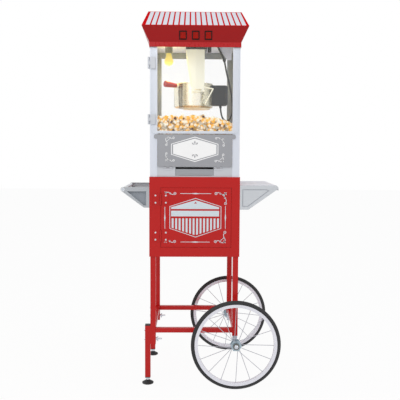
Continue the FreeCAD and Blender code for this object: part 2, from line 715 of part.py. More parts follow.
def make_glazing():
    x = case_x - post_wall
    y = case_y - post_wall
    z0, z1 = deck_z + sheet, ceiling_z - face_gap
    left = block(-x, -x + glass, -y, y, z0, z1)
    rear = block(-x + glass, x - glass, y - glass, y, z0, z1)
    save("case_glass", left, flip_x(left), rear)

    save("door_glass", door_pane())
    fixed, moving = [], []
    for z, length in ((glass_hinge_low, 40.0), (glass_hinge_high, 47.0)):
        f, m = glass_hinge(z, length)
        fixed.append(f)
        moving.append(m)
    save("door_glass_clips", *moving)
    return fixed


glass_hinge_low = deck_z + sill_bottom + 57.0
glass_hinge_high = skirt_z - 63.0
glass_hinge_x = -case_x - 5.0
glass_front_y = -case_y - 6.0
glass_hinge_y = glass_front_y + 1.5
door_edge_x = case_x - 5.5


def door_pane():
    pane = block(-door_edge_x, door_edge_x, glass_front_y, glass_front_y + glass,
                 deck_z + sill_bottom + 2.5, skirt_z - 2.5)
    upright = [e for e in pane.Edges if e.BoundBox.YLength > glass - 0.1]
    return pane.makeFillet(4.0, upright)


def glass_hinge(z, length):
    """A post hinge: a leaf on the post's outer side and a clip that holds the glass edge."""
    axis = V(glass_hinge_x, glass_hinge_y, z - length / 2)
    pins, middle = knuckles(axis, UP, length, 3.5, 1.5)
    z0, z1 = z - length / 2, z + length / 2
    third = length / 3
    plate = block(-case_x - sheet, -case_x, -case_y + 1.0, -case_y + 30.0, z0, z1)
    lugs = [block(glass_hinge_x, -case_x, glass_hinge_y + 1.5, -case_y + 3.0, a, b)
            for a, b in ((z0, z0 + third - face_gap), (z1 - third + face_gap, z1))]
    fixed = fuse([plate, pins] + lugs)

    jaw = 1.5
    clip = block(-door_edge_x - 2.0, -door_edge_x + 17.0, glass_front_y - jaw,
                 glass_front_y + glass + jaw, z0, z1)
    clip = clip.cut(door_pane())
    bridge = block(glass_hinge_x, -door_edge_x - 1.0, glass_front_y - jaw, glass_front_y + 0.3,
                   z0 + third, z1 - third)
    bridge = bridge.cut(rod(axis, axis + UP * length, 1.5 + running_fit))
    moving = fuse([clip, middle, bridge])
    return fixed, moving


# ---- serving flap ----
flap_axis_y = -case_y - 2.5
flap_axis_z = deck_z - 6.0
flap_hinge_xs = (-post_inner_x + 42.5, post_inner_x - 56.5)
flap_hinge_length = 36.0
flap_front_y = -case_y - 6.5


def flap_knuckles():
    return [knuckles(V(x - flap_hinge_length / 2, flap_axis_y, flap_axis_z), V(1, 0, 0), flap_hinge_length,
                     2.8, 1.4) for x in flap_hinge_xs]


def make_flap():
    """Folded sheet flap with rounded ears that lap over the posts, on two barrel hinges."""
    back_y = flap_front_y + sheet
    z0, z1 = deck_z - 2.5, deck_z - 2.5 + flap_height
    half = post_inner_x - 1.0
    ear = half + flap_ear_reach
    panel = block(-half, half, flap_front_y, back_y, z0, z1)
    ears = [block(s * (half - 1), s * ear, flap_front_y, back_y, z1 - 18.0, z1) for s in (-1, 1)]
    skin = fuse([panel] + ears)
    tips = [e for e in skin.Edges if e.BoundBox.YLength > sheet - 0.1 and abs(e.BoundBox.XMax) > ear - 0.5]
    skin = skin.makeFillet(7.0, tips)
    returns = [block(s * (half - sheet), s * half, back_y - 0.2, -case_y - 0.6, z0 + 6.0, z1)
               for s in (-1, 1)]
    returns.append(block(-half, half, back_y - 0.2, -case_y - 0.6, z1 - sheet, z1))
    third = flap_hinge_length / 3
    pieces = [skin] + returns
    for x, (_, middle) in zip(flap_hinge_xs, flap_knuckles()):
        tab = block(x - third / 2, x + third / 2, flap_front_y, back_y, flap_axis_z, z0 + 1.0)
        pieces += [tab, middle]
    flap = fuse(pieces)
    bores = [rod(V(x - third, flap_axis_y, flap_axis_z), V(x + third, flap_axis_y, flap_axis_z),
                 1.4 + running_fit) for x in flap_hinge_xs]
    save("serving_flap", cut(flap, bores))


def flap_fixed_leaves():
    leaves = []
    third = flap_hinge_length / 3
    apron_y = -case_y + post_wall
    for x, (pins, _) in zip(flap_hinge_xs, flap_knuckles()):
        x0 = x - flap_hinge_length / 2
        plate = block(x0, x0 + flap_hinge_length, apron_y - sheet, apron_y, flap_axis_z - 11.0,
                      flap_axis_z - 2.0)
        lugs = [block(a, b, flap_axis_y, apron_y, flap_axis_z - 3.5, flap_axis_z - 1.2)
                for a, b in ((x0, x0 + third - face_gap), (x0 + 2 * third + face_gap, x0 + 3 * third))]
        leaves.append(fuse([plate, pins] + lugs))
    return leaves


# ---- canopy, roof, switches ----
def rectangle(hx, hy, z):
    points = [V(-hx, -hy, z), V(hx, -hy, z), V(hx, hy, z), V(-hx, hy, z)]
    return Part.makePolygon(points + points[:1])


def flare(grow_x, grow_y, base_x, base_y, rise):
    """The outward-leaning band above the skirt."""
    return Part.makeLoft([rectangle(base_x, base_y, flare_z),
                          rectangle(base_x + grow_x, base_y + grow_y, flare_z + rise)], True, True)


flare_angle = math.degrees(math.atan2(rim_overhang_y, flare_rise))


def on_fascia(shape, x, up, mirrored=False):
    """Place a part made at the origin, facing -y, on the leaning fascia at a height above the skirt."""
    placed = shape.copy()
    placed.rotate(V(0, 0, 0), V(1, 0, 0), flare_angle)
    placed.translate(V(x, -half_d - rim_overhang_y * up / flare_rise, flare_z + up))
    return flip_y(placed) if mirrored else placed


switch_up = 25.0
switch_x0 = 1.2
switch_xs = [switch_x0 + switch_spacing * i for i in (-1, 0, 1)]
inlet_x = 110.0


def centred_block(width, height, y0, y1):
    return block(-width / 2, width / 2, y0, y1, -height / 2, height / 2)


def make_canopy():
    t = sheet
    outer = fuse([block(-half_w, half_w, -half_d, half_d, skirt_z, flare_z),
                  flare(rim_overhang_x, rim_overhang_y, half_w, half_d, flare_rise)])
    lean = t / math.cos(math.radians(flare_angle)) - t
    hollow = [block(-half_w + t, half_w - t, -half_d + t, half_d - t, skirt_z - 1, flare_z),
              flare((rim_overhang_x - lean) * (flare_rise - t) / flare_rise,
                    (rim_overhang_y - lean) * (flare_rise - t) / flare_rise,
                    half_w - t, half_d - t, flare_rise - t),
              block(-rim_x + 16, rim_x - 16, -rim_y + 16, rim_y - 16, rim_z - 5, rim_z + 1)]
    canopy = cut(outer, [fuse(hollow)])
    canopy = canopy.cut(block(-half_w - 1, half_w + 1, half_d - t - 0.5, half_d + 1, skirt_z - 1,
                              skirt_z + rear_skirt_rise))
    cutouts = [on_fascia(centred_block(switch_width - 4, switch_height - 4, -5, 5), x, switch_up)
               for x in switch_xs]
    cutouts.append(on_fascia(centred_block(28, 22, -5, 5), inlet_x, switch_up, True))
    save("roof_canopy", cut(canopy, cutouts))

    outer = hip_roof(rim_x, rim_y, ridge_half_length, rim_z, ridge_z)
    slope = math.atan2(roof_rise, rim_y)
    inner = hip_roof(rim_x - t, rim_y - t / math.sin(slope), ridge_half_length - t, rim_z,
                     ridge_z - t / math.cos(slope))
    save("roof_lid", outer.cut(inner))


def hip_roof(hx, hy, ridge, z0, z1):
    """A gable roof whose ends lean in a little."""
    b = [V(-hx, -hy, z0), V(hx, -hy, z0), V(hx, hy, z0), V(-hx, hy, z0)]
    r = [V(-ridge, 0, z1), V(ridge, 0, z1)]
    loops = [b, [b[0], b[1], r[1], r[0]], [b[2], b[3], r[0], r[1]], [b[0], r[0], b[3]], [b[1], b[2], r[1]]]
    faces = [Part.Face(Part.makePolygon(loop + loop[:1])) for loop in loops]
    solid = Part.Solid(Part.Shell(faces))
    if solid.Volume < 0:
        solid.reverse()
    return solid


def make_switches():
    """Three rocker switches: fixed housings, and rockers that turn on pins inside them."""
    wide, tall = switch_width - 8.0, switch_height - 8.0
    plate = centred_block(switch_width, switch_height, -2.2, 0)
    front = [e for e in plate.Edges if e.BoundBox.YMax < -2.1]
    plate = plate.makeFillet(1.2, front)
    sleeve = centred_block(switch_width - 4.4, switch_height - 4.4, -0.5, 11.0)
    housing = fuse([plate, sleeve])
    housing = housing.cut(centred_block(wide + 0.6, tall + 0.6, -3, 12.0))
    pin_line = (V(-wide / 2 - 1.1, rocker_depth, 0), V(wide / 2 + 1.1, rocker_depth, 0))
    housing = housing.cut(rod(pin_line[0] - V(0.2, 0, 0), pin_line[1] + V(0.2, 0, 0), 1.2 + running_fit))
    save("switch_housings", *[on_fascia(housing, x, switch_up) for x in switch_xs])

    h = tall / 2 - 1.0
    outline = [(-h, -2.6), (0, -0.2), (h, -2.6), (h - 1.5, 7.0), (-h + 1.5, 7.0)]
    rocker = prism([V(-wide / 2, y, z) for z, y in outline], V(wide, 0, 0))
    rocker = fuse([rocker, rod(pin_line[0], pin_line[1], 1.2)])
    rocker.rotate(V(0, rocker_depth, 0), V(1, 0, 0), -rocker_swing / 2)
    for name, x in zip(("heat", "motor", "light"), switch_xs):
        save("rocker_" + name, on_fascia(rocker, x, switch_up))


rocker_depth = 5.0
rocker_swing = 12.0


# ---- ceiling and what hangs from it ----
def make_ceiling():
    up = ceiling_z - flare_z
    edge = sheet + 0.6
    cx = half_w + rim_overhang_x * up / flare_rise - edge
    cy = half_d + rim_overhang_y * up / flare_rise - edge
    plate = block(-cx, cx, -cy, cy, ceiling_z, ceiling_z + sheet)
    spigot = rod(V(kettle_x, 0, ceiling_z - 1), V(kettle_x, 0, ceiling_z + 3), 20.0 + face_gap)
    reach = switch_spacing + switch_width / 2 + 3.0
    notches = [block(switch_x0 - reach, switch_x0 + reach, -cy - 1, -case_y - 1.0, ceiling_z - 1,
                     ceiling_z + 3),
               block(inlet_x - 22.0, inlet_x + 22.0, case_y - 6.0, cy + 1, ceiling_z - 1, ceiling_z + 3)]
    save("ceiling_plate", cut(plate, [spigot] + notches))

    x0, x1, y1 = column_left - 1.0, column_right + 10.0, arm_inner_y + 6.0
    gearbox = block(x0, x1, -y1, y1, motor_bottom_z, ceiling_z)
    hollow = block(x0 + 2, x1 - 2, -y1 + 2, y1 - 2, motor_bottom_z + 2, ceiling_z - 2)
    boss = rod(V(kettle_x, 0, motor_bottom_z), V(kettle_x, 0, ceiling_z), drive_radius + 14.0)
    gearbox = fuse([gearbox.cut(hollow), boss.common(gearbox)])
    can = fuse([rod(V(kettle_x, 0, ceiling_z - 1), V(kettle_x, 0, ceiling_z + 4), 20.0),
                rod(V(kettle_x, 0, ceiling_z + sheet), V(kettle_x, 0, ceiling_z + 36.0), 32.0)])
    bore = rod(V(kettle_x, 0, motor_bottom_z - 1), V(kettle_x, 0, motor_bottom_z + 15.0),
               drive_radius + running_fit)
    save("stir_motor", fuse([gearbox, can]).cut(bore))

    make_lamp()
    guard_y = cord_route[0][1] + 4.5
    gx0, gx1 = 97.0, 152.0
    guard = plate_xz([(gx0, ceiling_z), (gx0, ceiling_z - 25), (gx0 + 38, ceiling_z - 73),
                      (gx1, ceiling_z - 73),
                      (gx1, ceiling_z)], guard_y, guard_y + sheet)
    save("ceiling_guard", fuse([guard, block(gx0, gx1, guard_y, guard_y + 13.0, ceiling_z - sheet,
                                             ceiling_z)]))
    make_fittings()


def make_lamp():
    x, y = -110.0, -60.0
    z = ceiling_z - 41.0
    holder = rod(V(x, y, z), V(x, y, ceiling_z), 15.5)
    flange = rod(V(x, y, ceiling_z - 5.0), V(x, y, ceiling_z), 23.0)
    save("lamp_holder", fuse([holder, flange]).cut(rod(V(x, y, z - 1), V(x, y, z + 18.0), 10.5)))
    globe = Part.makeSphere(19.0, V(x, y, z - 33.0))
    neck = rod(V(x, y, z - 21.0), V(x, y, z - face_gap), 14.8, 10.0)
    base = rod(V(x, y, z - 1.0), V(x, y, z + 17.6), 10.0)
    save("lamp_bulb", fuse([globe, neck, base]))


# The kettle's cord: from the strain relief, down beside the right pane, round a loose loop and up
# into the collar under the terminal cover.
cord_route = [(123, -106, 1333), (129, -107, 1300), (138, -108, 1262), (148, -107, 1222), (155, -105, 1182),
              (158, -101, 1145), (156, -93, 1115), (147, -80, 1096), (134, -62, 1091), (121, -45, 1101),
              (113, -32, 1124), (111, -25, 1150)]


def make_fittings():
    """Black strain relief, kettle connector on the ceiling and mains inlet at the back."""
    exit_point, first = V(*cord_route[0]), V(*cord_route[1])
    along = first.sub(exit_point).normalize()
    bulb = exit_point - along * 8.0
    top = V(bulb.x - 39.0, bulb.y, ceiling_z + 5)
    relief = fuse([rod(top, bulb, 3.6, 4.6), Part.makeSphere(7.0, bulb), rod(bulb, exit_point, 5.0)])
    relief = relief.cut(block(0, 200, -200, 0, ceiling_z, ceiling_z + 30))
    connector = block(column_right + 13.0, column_right + 29.0, -68.0, -50.0, ceiling_z - 36.0, ceiling_z)
    connector = connector.makeFillet(2.0, [e for e in connector.Edges if e.BoundBox.ZMax < ceiling_z - 30])
    inlet = fuse([centred_block(38, 30, -2.5, 0), centred_block(27.6, 21.6, -0.5, 22.0)])
    inlet = inlet.cut(centred_block(24, 16, -3, 15.0))
    pins = [block(x - 1, x + 1, -1.0, 16.0, -3, 3) for x in (-7, 0, 7)]
    save("cord_fittings", relief, connector, on_fascia(fuse([inlet] + pins), inlet_x, switch_up, True))


def column_arm():
    """One face of the drive column: a shallow folded sheet, narrower at its lower left."""
    t = sheet
    y = -arm_inner_y
    fold_x, fold = 3.0, 4.0
    low = pivot_z - 34.0
    band = plate_xy([(column_left, y - t), (fold_x, y - t - fold), (column_right, y - t), (column_right, y),
                     (fold_x, y - fold), (column_left, y)], low, motor_bottom_z)
    face = plate_xz([(column_left, motor_bottom_z), (column_right, motor_bottom_z), (column_right, low),
                     (column_left_low, low), (column_left_low, low + 33.0),
                      (column_left, motor_bottom_z - 5)],
                    y - 10, y + 1)
    arm = band.common(face)
    slot_z, slot_x = low + 7.0, (column_left_low + column_right) / 2
    slot = fuse([block(slot_x - 12, slot_x + 12, y - 10, y + 1, slot_z - 3, slot_z + 3)]
                + [rod(V(slot_x + s * 12, y - 10, slot_z), V(slot_x + s * 12, y + 1, slot_z), 3.0)
                   for s in (-1, 1)])
    pivot = rod(V(pivot_x, y - 10, pivot_z), V(pivot_x, y + 1, pivot_z), trunnion_radius + running_fit)
    return cut(arm, [slot, pivot])


trunnion_radius = 4.0


def make_column():
    t = sheet
    y = arm_inner_y
    head = plate_xy([(column_left, -y - t), (3.0, -y - t - 4), (column_right, -y - t),
                     (column_right, y + t),
                     (3.0, y + t + 4), (column_left, y + t)], motor_bottom_z - t, motor_bottom_z)
    head = head.cut(rod(V(kettle_x, 0, motor_bottom_z - 3), V(kettle_x, 0, motor_bottom_z + 1),
                        drive_radius + 4))
    save("drive_column", fuse([head] + both_y(column_arm())))

    dog_z = kettle_rim_z + 15.5
    shaft = fuse([rod(V(kettle_x, 0, dog_z), V(kettle_x, 0, motor_bottom_z + 14.5), drive_radius),
                  rod(V(kettle_x, 0, dog_z), V(kettle_x, 0, dog_z + 9.0), 7.0)])
    flat = block(kettle_x - 8, kettle_x + 8, -1.5, 1.5, dog_z - 1, dog_z + 3.5)
    save("drive_shaft", shaft.cut(flat))


# ---- kettle ----
crossbar_z = kettle_rim_z + 2.3
lid_z = kettle_rim_z + 2.3
crossbar_half = 13.0
lid_hinge_x = crossbar_half + 4.0


def ring_about_kettle(r0, r1, z0, z1):
    return rod(V(kettle_x, 0, z0), V(kettle_x, 0, z1), r1).cut(
        rod(V(kettle_x, 0, z0 - 1), V(kettle_x, 0, z1 + 1), r0))


def make_kettle():
    z0, z1 = kettle_bottom_z, kettle_rim_z
    drum = rod(V(kettle_x, 0, z0), V(kettle_x, 0, z1), kettle_radius)
    drum = drum.makeFillet(9.0, [e for e in drum.Edges if e.BoundBox.ZMax < z0 + 0.1])
    inside = rod(V(kettle_x, 0, z0 + kettle_floor), V(kettle_x, 0, z1 + 1), kettle_radius - kettle_wall)
    inside = inside.makeFillet(7.0, [e for e in inside.Edges if e.BoundBox.ZMax < z0 + kettle_floor + 0.1])
    bead = ring_about_kettle(kettle_radius - kettle_wall, kettle_radius + 1.5, z1 - 3.0, z1 + 2.0)
    bead = bead.makeFillet(1.2, [e for e in bead.Edges if e.BoundBox.XLength > 2 * kettle_radius + 1])
    save("kettle_pot", fuse([drum.cut(inside), bead]))

    plate = rod(V(kettle_x + 14.0, 0, z0 - 5.0), V(kettle_x + 14.0, 0, z0), 58.0)
    heater = plate.makeFillet(1.5, [e for e in plate.Edges if e.BoundBox.ZMax < z0 - 4.9])
    save("kettle_frame", heater, *kettle_frame(), handle_rod())
    make_grip()
    make_terminal_cover()
    make_lids()
    make_stirrer()


def kettle_frame():
    """Crossbar with its bush and trunnions, and the bright wire bail on the front."""
    tab_y = kettle_radius + 1.8
    left = kettle_x - crossbar_half
    bar = block(left, kettle_x + crossbar_half, -tab_y - 2.0, tab_y + 2.0, crossbar_z, crossbar_z + 3.0)
    bush = rod(V(kettle_x, 0, crossbar_z), V(kettle_x, 0, crossbar_z + 8.0), 10.5)
    x = kettle_x - lid_hinge_x
    hinges = [rod(V(x, -34.0, lid_z + 2.0), V(x, 34.0, lid_z + 2.0), 1.0)]
    hinges += both_y(block(x - 1.6, kettle_x - crossbar_half + 1, -34.0, -30.3, lid_z + 1.5, lid_z + 3.6))
    tab = block(left, pivot_x + 10.0, -tab_y - 2.0, -tab_y, pivot_z - 10.0, crossbar_z + 3.0)
    pin = rod(V(pivot_x, -tab_y - 1.0, pivot_z), V(pivot_x, -arm_inner_y - 5.4, pivot_z), trunnion_radius)
    crossbar = fuse([bar, bush] + hinges + both_y(fuse([tab, pin])))
    bore = rod(V(kettle_x, 0, crossbar_z - 1), V(kettle_x, 0, crossbar_z + 9), drive_radius + running_fit)

    y = -kettle_radius - 7.5
    seat_x, low_z = 43.0, kettle_rim_z - 88.0
    bend = [V(pivot_x + 12.0, y, kettle_rim_z - 12.0), V(76.0, y, kettle_rim_z - 25.0), V(seat_x, y, low_z)]
    depth = math.sqrt(kettle_radius ** 2 - (seat_x - kettle_x) ** 2)
    wall = V(seat_x, -depth - 1.0, low_z)
    wire = [rod(bend[0], bend[1], 2.9), rod(bend[1], bend[2], 2.9), rod(bend[2], wall, 2.9)]
    start = V(bend[0].x, -math.sqrt(kettle_radius ** 2 - (bend[0].x - kettle_x) ** 2) - 0.5, bend[0].z)
    wire.append(rod(start, bend[0], 2.9))
    wire += [Part.makeSphere(2.9, p) for p in bend]
    drum = rod(V(kettle_x, 0, kettle_bottom_z - 1), V(kettle_x, 0, kettle_rim_z + 3), kettle_radius + 0.1)
    bail = fuse(wire).cut(drum).cut(crossbar)
    return crossbar.cut(bore), bail


def grip_line(distance, rise=0.0):
    """A point on the handle's line, at a distance from the kettle's centre."""
    a = math.radians(grip_angle)
    return V(kettle_x + distance * math.cos(a), distance * math.sin(a), grip_z + rise)


grip_z = kettle_rim_z - 9.0


def handle_rod():
    """Steel handle rod with a plate that sits on the kettle's wall."""
    drum = rod(V(kettle_x, 0, kettle_bottom_z), V(kettle_x, 0, kettle_rim_z), kettle_radius + 0.1)
    plate = rod(grip_line(kettle_radius - 6), grip_line(kettle_radius + 2.5), 9.5)
    stem = fuse([plate, rod(grip_line(kettle_radius - 6), grip_line(grip_start + 30, 2.0), 4.0)]).cut(drum)
    bead = ring_about_kettle(kettle_radius - kettle_wall, kettle_radius + 1.6, kettle_rim_z - 3.1,
                             kettle_rim_z + 2.1)
    return stem.cut(bead)


def make_grip():
    """The tapered grip on the handle rod."""
    grip = rod(grip_line(grip_start), grip_line(grip_start + grip_length, 5.0), 8.5, 13.5)
    grip = grip.makeFillet(2.5, [e for e in grip.Edges if e.BoundBox.XMin < grip_line(grip_start + 50).x])
    save("kettle_grip", grip.cut(rod(grip_line(kettle_radius - 6), grip_line(grip_start + 30, 2.0),
                                     4.0 + running_fit)))


def make_terminal_cover():
    x0, x1, y1 = kettle_x + kettle_radius - 6.0, kettle_x + kettle_radius + 65.0, cover_half_width
    z0, z1 = kettle_bottom_z + 12.0, kettle_rim_z - 3.5
    box = block(x0, x1, -y1, y1, z0, z1)
    box = box.makeFillet(11.0, [e for e in box.Edges if e.BoundBox.XMin > x1 - 0.1])
    hollow = block(x0 - 1, x1 - 2.5, -y1 + 2.5, y1 - 2.5, z0 + 2.5, z1 - 2.5)
    hollow = hollow.makeFillet(8.5, [e for e in hollow.Edges if e.BoundBox.XMin > x1 - 2.6])
    end, before = V(*cord_route[-1]), V(*cord_route[-2])
    rise = end.sub(before).normalize()
    collar = rod(end, end + rise * (z0 + 1.0 - end.z), 5.5)
    drum = rod(V(kettle_x, 0, z0 - 1), V(kettle_x, 0, z1 + 1), kettle_radius + 0.1)
    save("terminal_cover", fuse([box.cut(hollow), collar]).cut(drum))


def make_lids():
    """A half-round lid hinged on the crossbar's left, and a fixed half butted against its right."""
    disc = rod(V(kettle_x, 0, lid_z), V(kettle_x, 0, lid_z + 1.2), kettle_radius)
    barrel_x = kettle_x - lid_hinge_x
    barrel = rod(V(barrel_x, -30, lid_z + 2.0), V(barrel_x, 30, lid_z + 2.0), 1.9)
    knob = rod(V(kettle_x - 56, 0, lid_z + 1.0), V(kettle_x - 56, 0, lid_z + 6.0), 4.0, 5.5)
    leaf = disc.common(block(-kettle_radius * 2, barrel_x - 0.5, -100, 100, lid_z - 1, lid_z + 3))
    pin = rod(V(barrel_x, -40, lid_z + 2.0), V(barrel_x, 40, lid_z + 2.0), 1.0 + running_fit)
    lugs = both_y(block(barrel_x - 3.6, barrel_x + 1, -34.6, -30.0, lid_z - 1, lid_z + 3))
    save("kettle_lid_hinged", cut(fuse([leaf.cut(fuse(lugs)), barrel, knob]), [pin]))

    half = block(kettle_x + crossbar_half, kettle_radius * 2, -100, 100, lid_z - 1, lid_z + 3)
    rib = block(kettle_x + crossbar_half, kettle_x + kettle_radius - 14.0, -2.0, 2.0, lid_z + 1.0,
                lid_z + 2.6)
    save("kettle_lid_fixed", fuse([disc.common(half), rib]))


def make_stirrer():
    floor_z = kettle_bottom_z + kettle_floor
    shaft = rod(V(kettle_x, 0, floor_z + 0.5), V(kettle_x, 0, kettle_rim_z + 14.5), drive_radius)
    arm_z = floor_z + 5.0
    reach = kettle_radius - 15.5
    arm = rod(V(kettle_x - reach, 0, arm_z), V(kettle_x + reach, 0, arm_z), 2.2)
    tips = [rod(V(kettle_x + s * reach, 0, arm_z - 1.5), V(kettle_x + s * reach, 0, arm_z + 18.0), 2.2)
            for s in (-1, 1)]
    save("stirrer", fuse([shaft, arm] + tips))


# ---- cord ----
def tube_along(points, diameter):
    """A round tube along straight runs joined by tangent arcs, each as large as its runs allow."""
    p = [V(*q) for q in points]
    edges, here, radii = [], p[0], []
    for a, b, c in zip(p, p[1:], p[2:]):
        before, after = b.sub(a), c.sub(b)
        turn = before.getAngle(after)
        reach = 0.45 * min(before.Length, after.Length)
        radii.append(round(reach / math.tan(turn / 2), 1))
        u, w = V(before).normalize(), V(after).normalize()
        start, end = b - u * reach, b + w * reach
        centre = b + (w - u).normalize() * (radii[-1] / math.cos(turn / 2))
        middle = centre + (b - centre).normalize() * radii[-1]
        exact = reach / math.tan(turn / 2)
        centre = b + (w - u).normalize() * (exact / math.cos(turn / 2))
        middle = centre + (b - centre).normalize() * exact
        edges += [Part.LineSegment(here, start).toShape(), Part.Arc(start, middle, end).toShape()]
        here = end
    edges.append(Part.LineSegment(here, p[-1]).toShape())
    path = Part.Wire(edges)
    section = Part.Wire(Part.Circle(p[0], p[1].sub(p[0]), diameter / 2).toShape())
    tube = path.makePipeShell([section], True, True)
    ideal = math.pi * diameter ** 2 / 4 * path.Length
    print("cord radii", radii, "length", round(path.Length, 1), "volume ratio",
          round(tube.Volume / ideal, 4))
    return tube


def make_cord():
    save("kettle_cord", tube_along(cord_route, cord_diameter))


# ---- popcorn ----
def make_popcorn():
    """The loose corn as one light heaped shell that lies on the deck."""
    x = case_x - post_wall - glass - 1.5
    y0, y1 = -case_y + 10.0, case_y - post_wall - glass - 1.5
    z0 = deck_z + sheet + face_gap
    level = kettle_bottom_z - heap_below_kettle
    ridge = level + heap_ridge
    ridge_back = -case_y + 76.0

    def heap(shrink, z_low):
        left, right = -x + shrink, x - shrink
        low, high = level - shrink, ridge - shrink
        body = block(left, right, y0 + shrink, y1 - shrink, z_low, low)
        hump = plate_xz([(left, low - 20), (left, high - 6), (-120, high), (-60, high - 5), (30, high - 1),
                         (95, high - 9), (128 - shrink, high - 22), (150 - shrink, low),
                          (150 - shrink, low - 20)],
                        y0 + shrink, ridge_back - shrink)
        rear = plate_xz([(left, low - 20), (left, low + 12), (-90, low + 22), (20, low + 20), (90, low + 6),
                         (110, low), (110, low - 20)], ridge_back + 90, y1 - shrink)
        return fuse([body, hump, rear])

    save("popcorn", heap(0.0, z0).cut(heap(popcorn_shell, z0 - 1)))


make_stand()
make_wheels()
make_cabinet()
make_handle()
make_shelf()
make_case_base()
make_drawer()
make_frame()
save("case_hinge_leaves", *make_glazing(), *flap_fixed_leaves())
make_flap()
make_canopy()
make_switches()
make_ceiling()
make_column()
make_kettle()
make_cord()
make_popcorn()
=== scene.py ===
"""Finishes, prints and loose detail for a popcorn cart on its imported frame."""
import json
import math
import random

import bmesh
import bpy
from bpy.props import FloatProperty, FloatVectorProperty, IntProperty, PointerProperty
from bpy.types import Operator, Panel, PropertyGroup
from mathutils import Matrix, Vector, noise
from mathutils.bvhtree import BVHTree


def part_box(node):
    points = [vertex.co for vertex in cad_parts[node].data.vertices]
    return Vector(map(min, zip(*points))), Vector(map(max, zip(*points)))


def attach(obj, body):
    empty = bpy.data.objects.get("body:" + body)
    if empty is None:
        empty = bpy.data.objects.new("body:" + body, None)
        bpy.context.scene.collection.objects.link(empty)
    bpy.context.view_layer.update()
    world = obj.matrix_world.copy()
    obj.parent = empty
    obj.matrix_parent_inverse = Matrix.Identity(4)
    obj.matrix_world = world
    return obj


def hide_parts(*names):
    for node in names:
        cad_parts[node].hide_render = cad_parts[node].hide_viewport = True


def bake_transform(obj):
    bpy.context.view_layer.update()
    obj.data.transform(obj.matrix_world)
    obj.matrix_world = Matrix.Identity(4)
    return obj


bl_info = {
    "name": "Popcorn cart",
    "version": (1, 0, 0),
    "blender": (4, 5, 0),
    "location": "3D View > Sidebar > Cart",
    "description": "Dresses a popcorn cart with its finishes, prints, cord and popped corn",
    "category": "Object",
}

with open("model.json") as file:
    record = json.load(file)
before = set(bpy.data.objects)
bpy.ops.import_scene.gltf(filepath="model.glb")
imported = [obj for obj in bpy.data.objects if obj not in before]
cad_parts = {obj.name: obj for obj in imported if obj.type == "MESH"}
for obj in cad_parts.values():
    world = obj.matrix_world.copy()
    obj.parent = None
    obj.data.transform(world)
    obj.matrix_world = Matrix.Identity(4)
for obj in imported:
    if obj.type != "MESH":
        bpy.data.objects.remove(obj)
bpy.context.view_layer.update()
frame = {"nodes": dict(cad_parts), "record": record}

# The glazed case's middle plane. Prints are laid out in millimetres from it and from the floor.
case_low, case_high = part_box("case_glass")
case_middle = (case_low.x + case_high.x) / 2


def linear(hex_colour):
    """Turn an sRGB hex colour into the linear values that shaders use."""
    parts = [int(hex_colour[i:i + 2], 16) / 255 for i in (0, 2, 4)]
    return tuple(p / 12.92 if p <= 0.04045 else ((p + 0.055) / 1.055) ** 2.4 for p in parts)


def at(x, y, z):
    """A point in metres, from millimetres measured from the case's middle plane."""
    return Vector((case_middle + x / 1000, y / 1000, z / 1000))


# ---- shader building ----
def node(tree, kind, values=None, links=None, **settings):
    """Add a node, set its properties and its free sockets, and link the others."""
    new = tree.nodes.new(kind)
    for name, value in settings.items():
        setattr(new, name, value)
    for key, value in (values or {}).items():
        new.inputs[key].default_value = value
    for key, source in (links or {}).items():
        tree.links.new(source, new.inputs[key])
    return new


def blank_material(name):
    """An empty material with its output, ready for nodes."""
    material = bpy.data.materials.new(name)
    material.use_nodes = True
    tree = material.node_tree
    tree.nodes.clear()
    return material, tree, node(tree, "ShaderNodeOutputMaterial")


def marks(tree, lengths, detail=2.0):
    """Soft random marks of the given lengths in millimetres along X, Y and Z."""
    place = node(tree, "ShaderNodeTexCoord")
    fit = node(tree, "ShaderNodeMapping", {"Scale": [1000 / length for length in lengths]},
               {"Vector": place.outputs["Object"]})
    return node(tree, "ShaderNodeTexNoise", {"Scale": 1.0, "Detail": detail},
                {"Vector": fit.outputs["Vector"]}).outputs["Fac"]


def object_axes(tree):
    """The X, Y and Z of the point that is shaded, in metres, from where it is at rest."""
    place = node(tree, "ShaderNodeTexCoord")
    return node(tree, "ShaderNodeSeparateXYZ", None, {0: place.outputs["Object"]}).outputs


def shade(colour, factor):
    """The same linear colour, lighter or darker, as a four-part value."""
    return [min(1.0, c * factor) for c in colour] + [1.0]


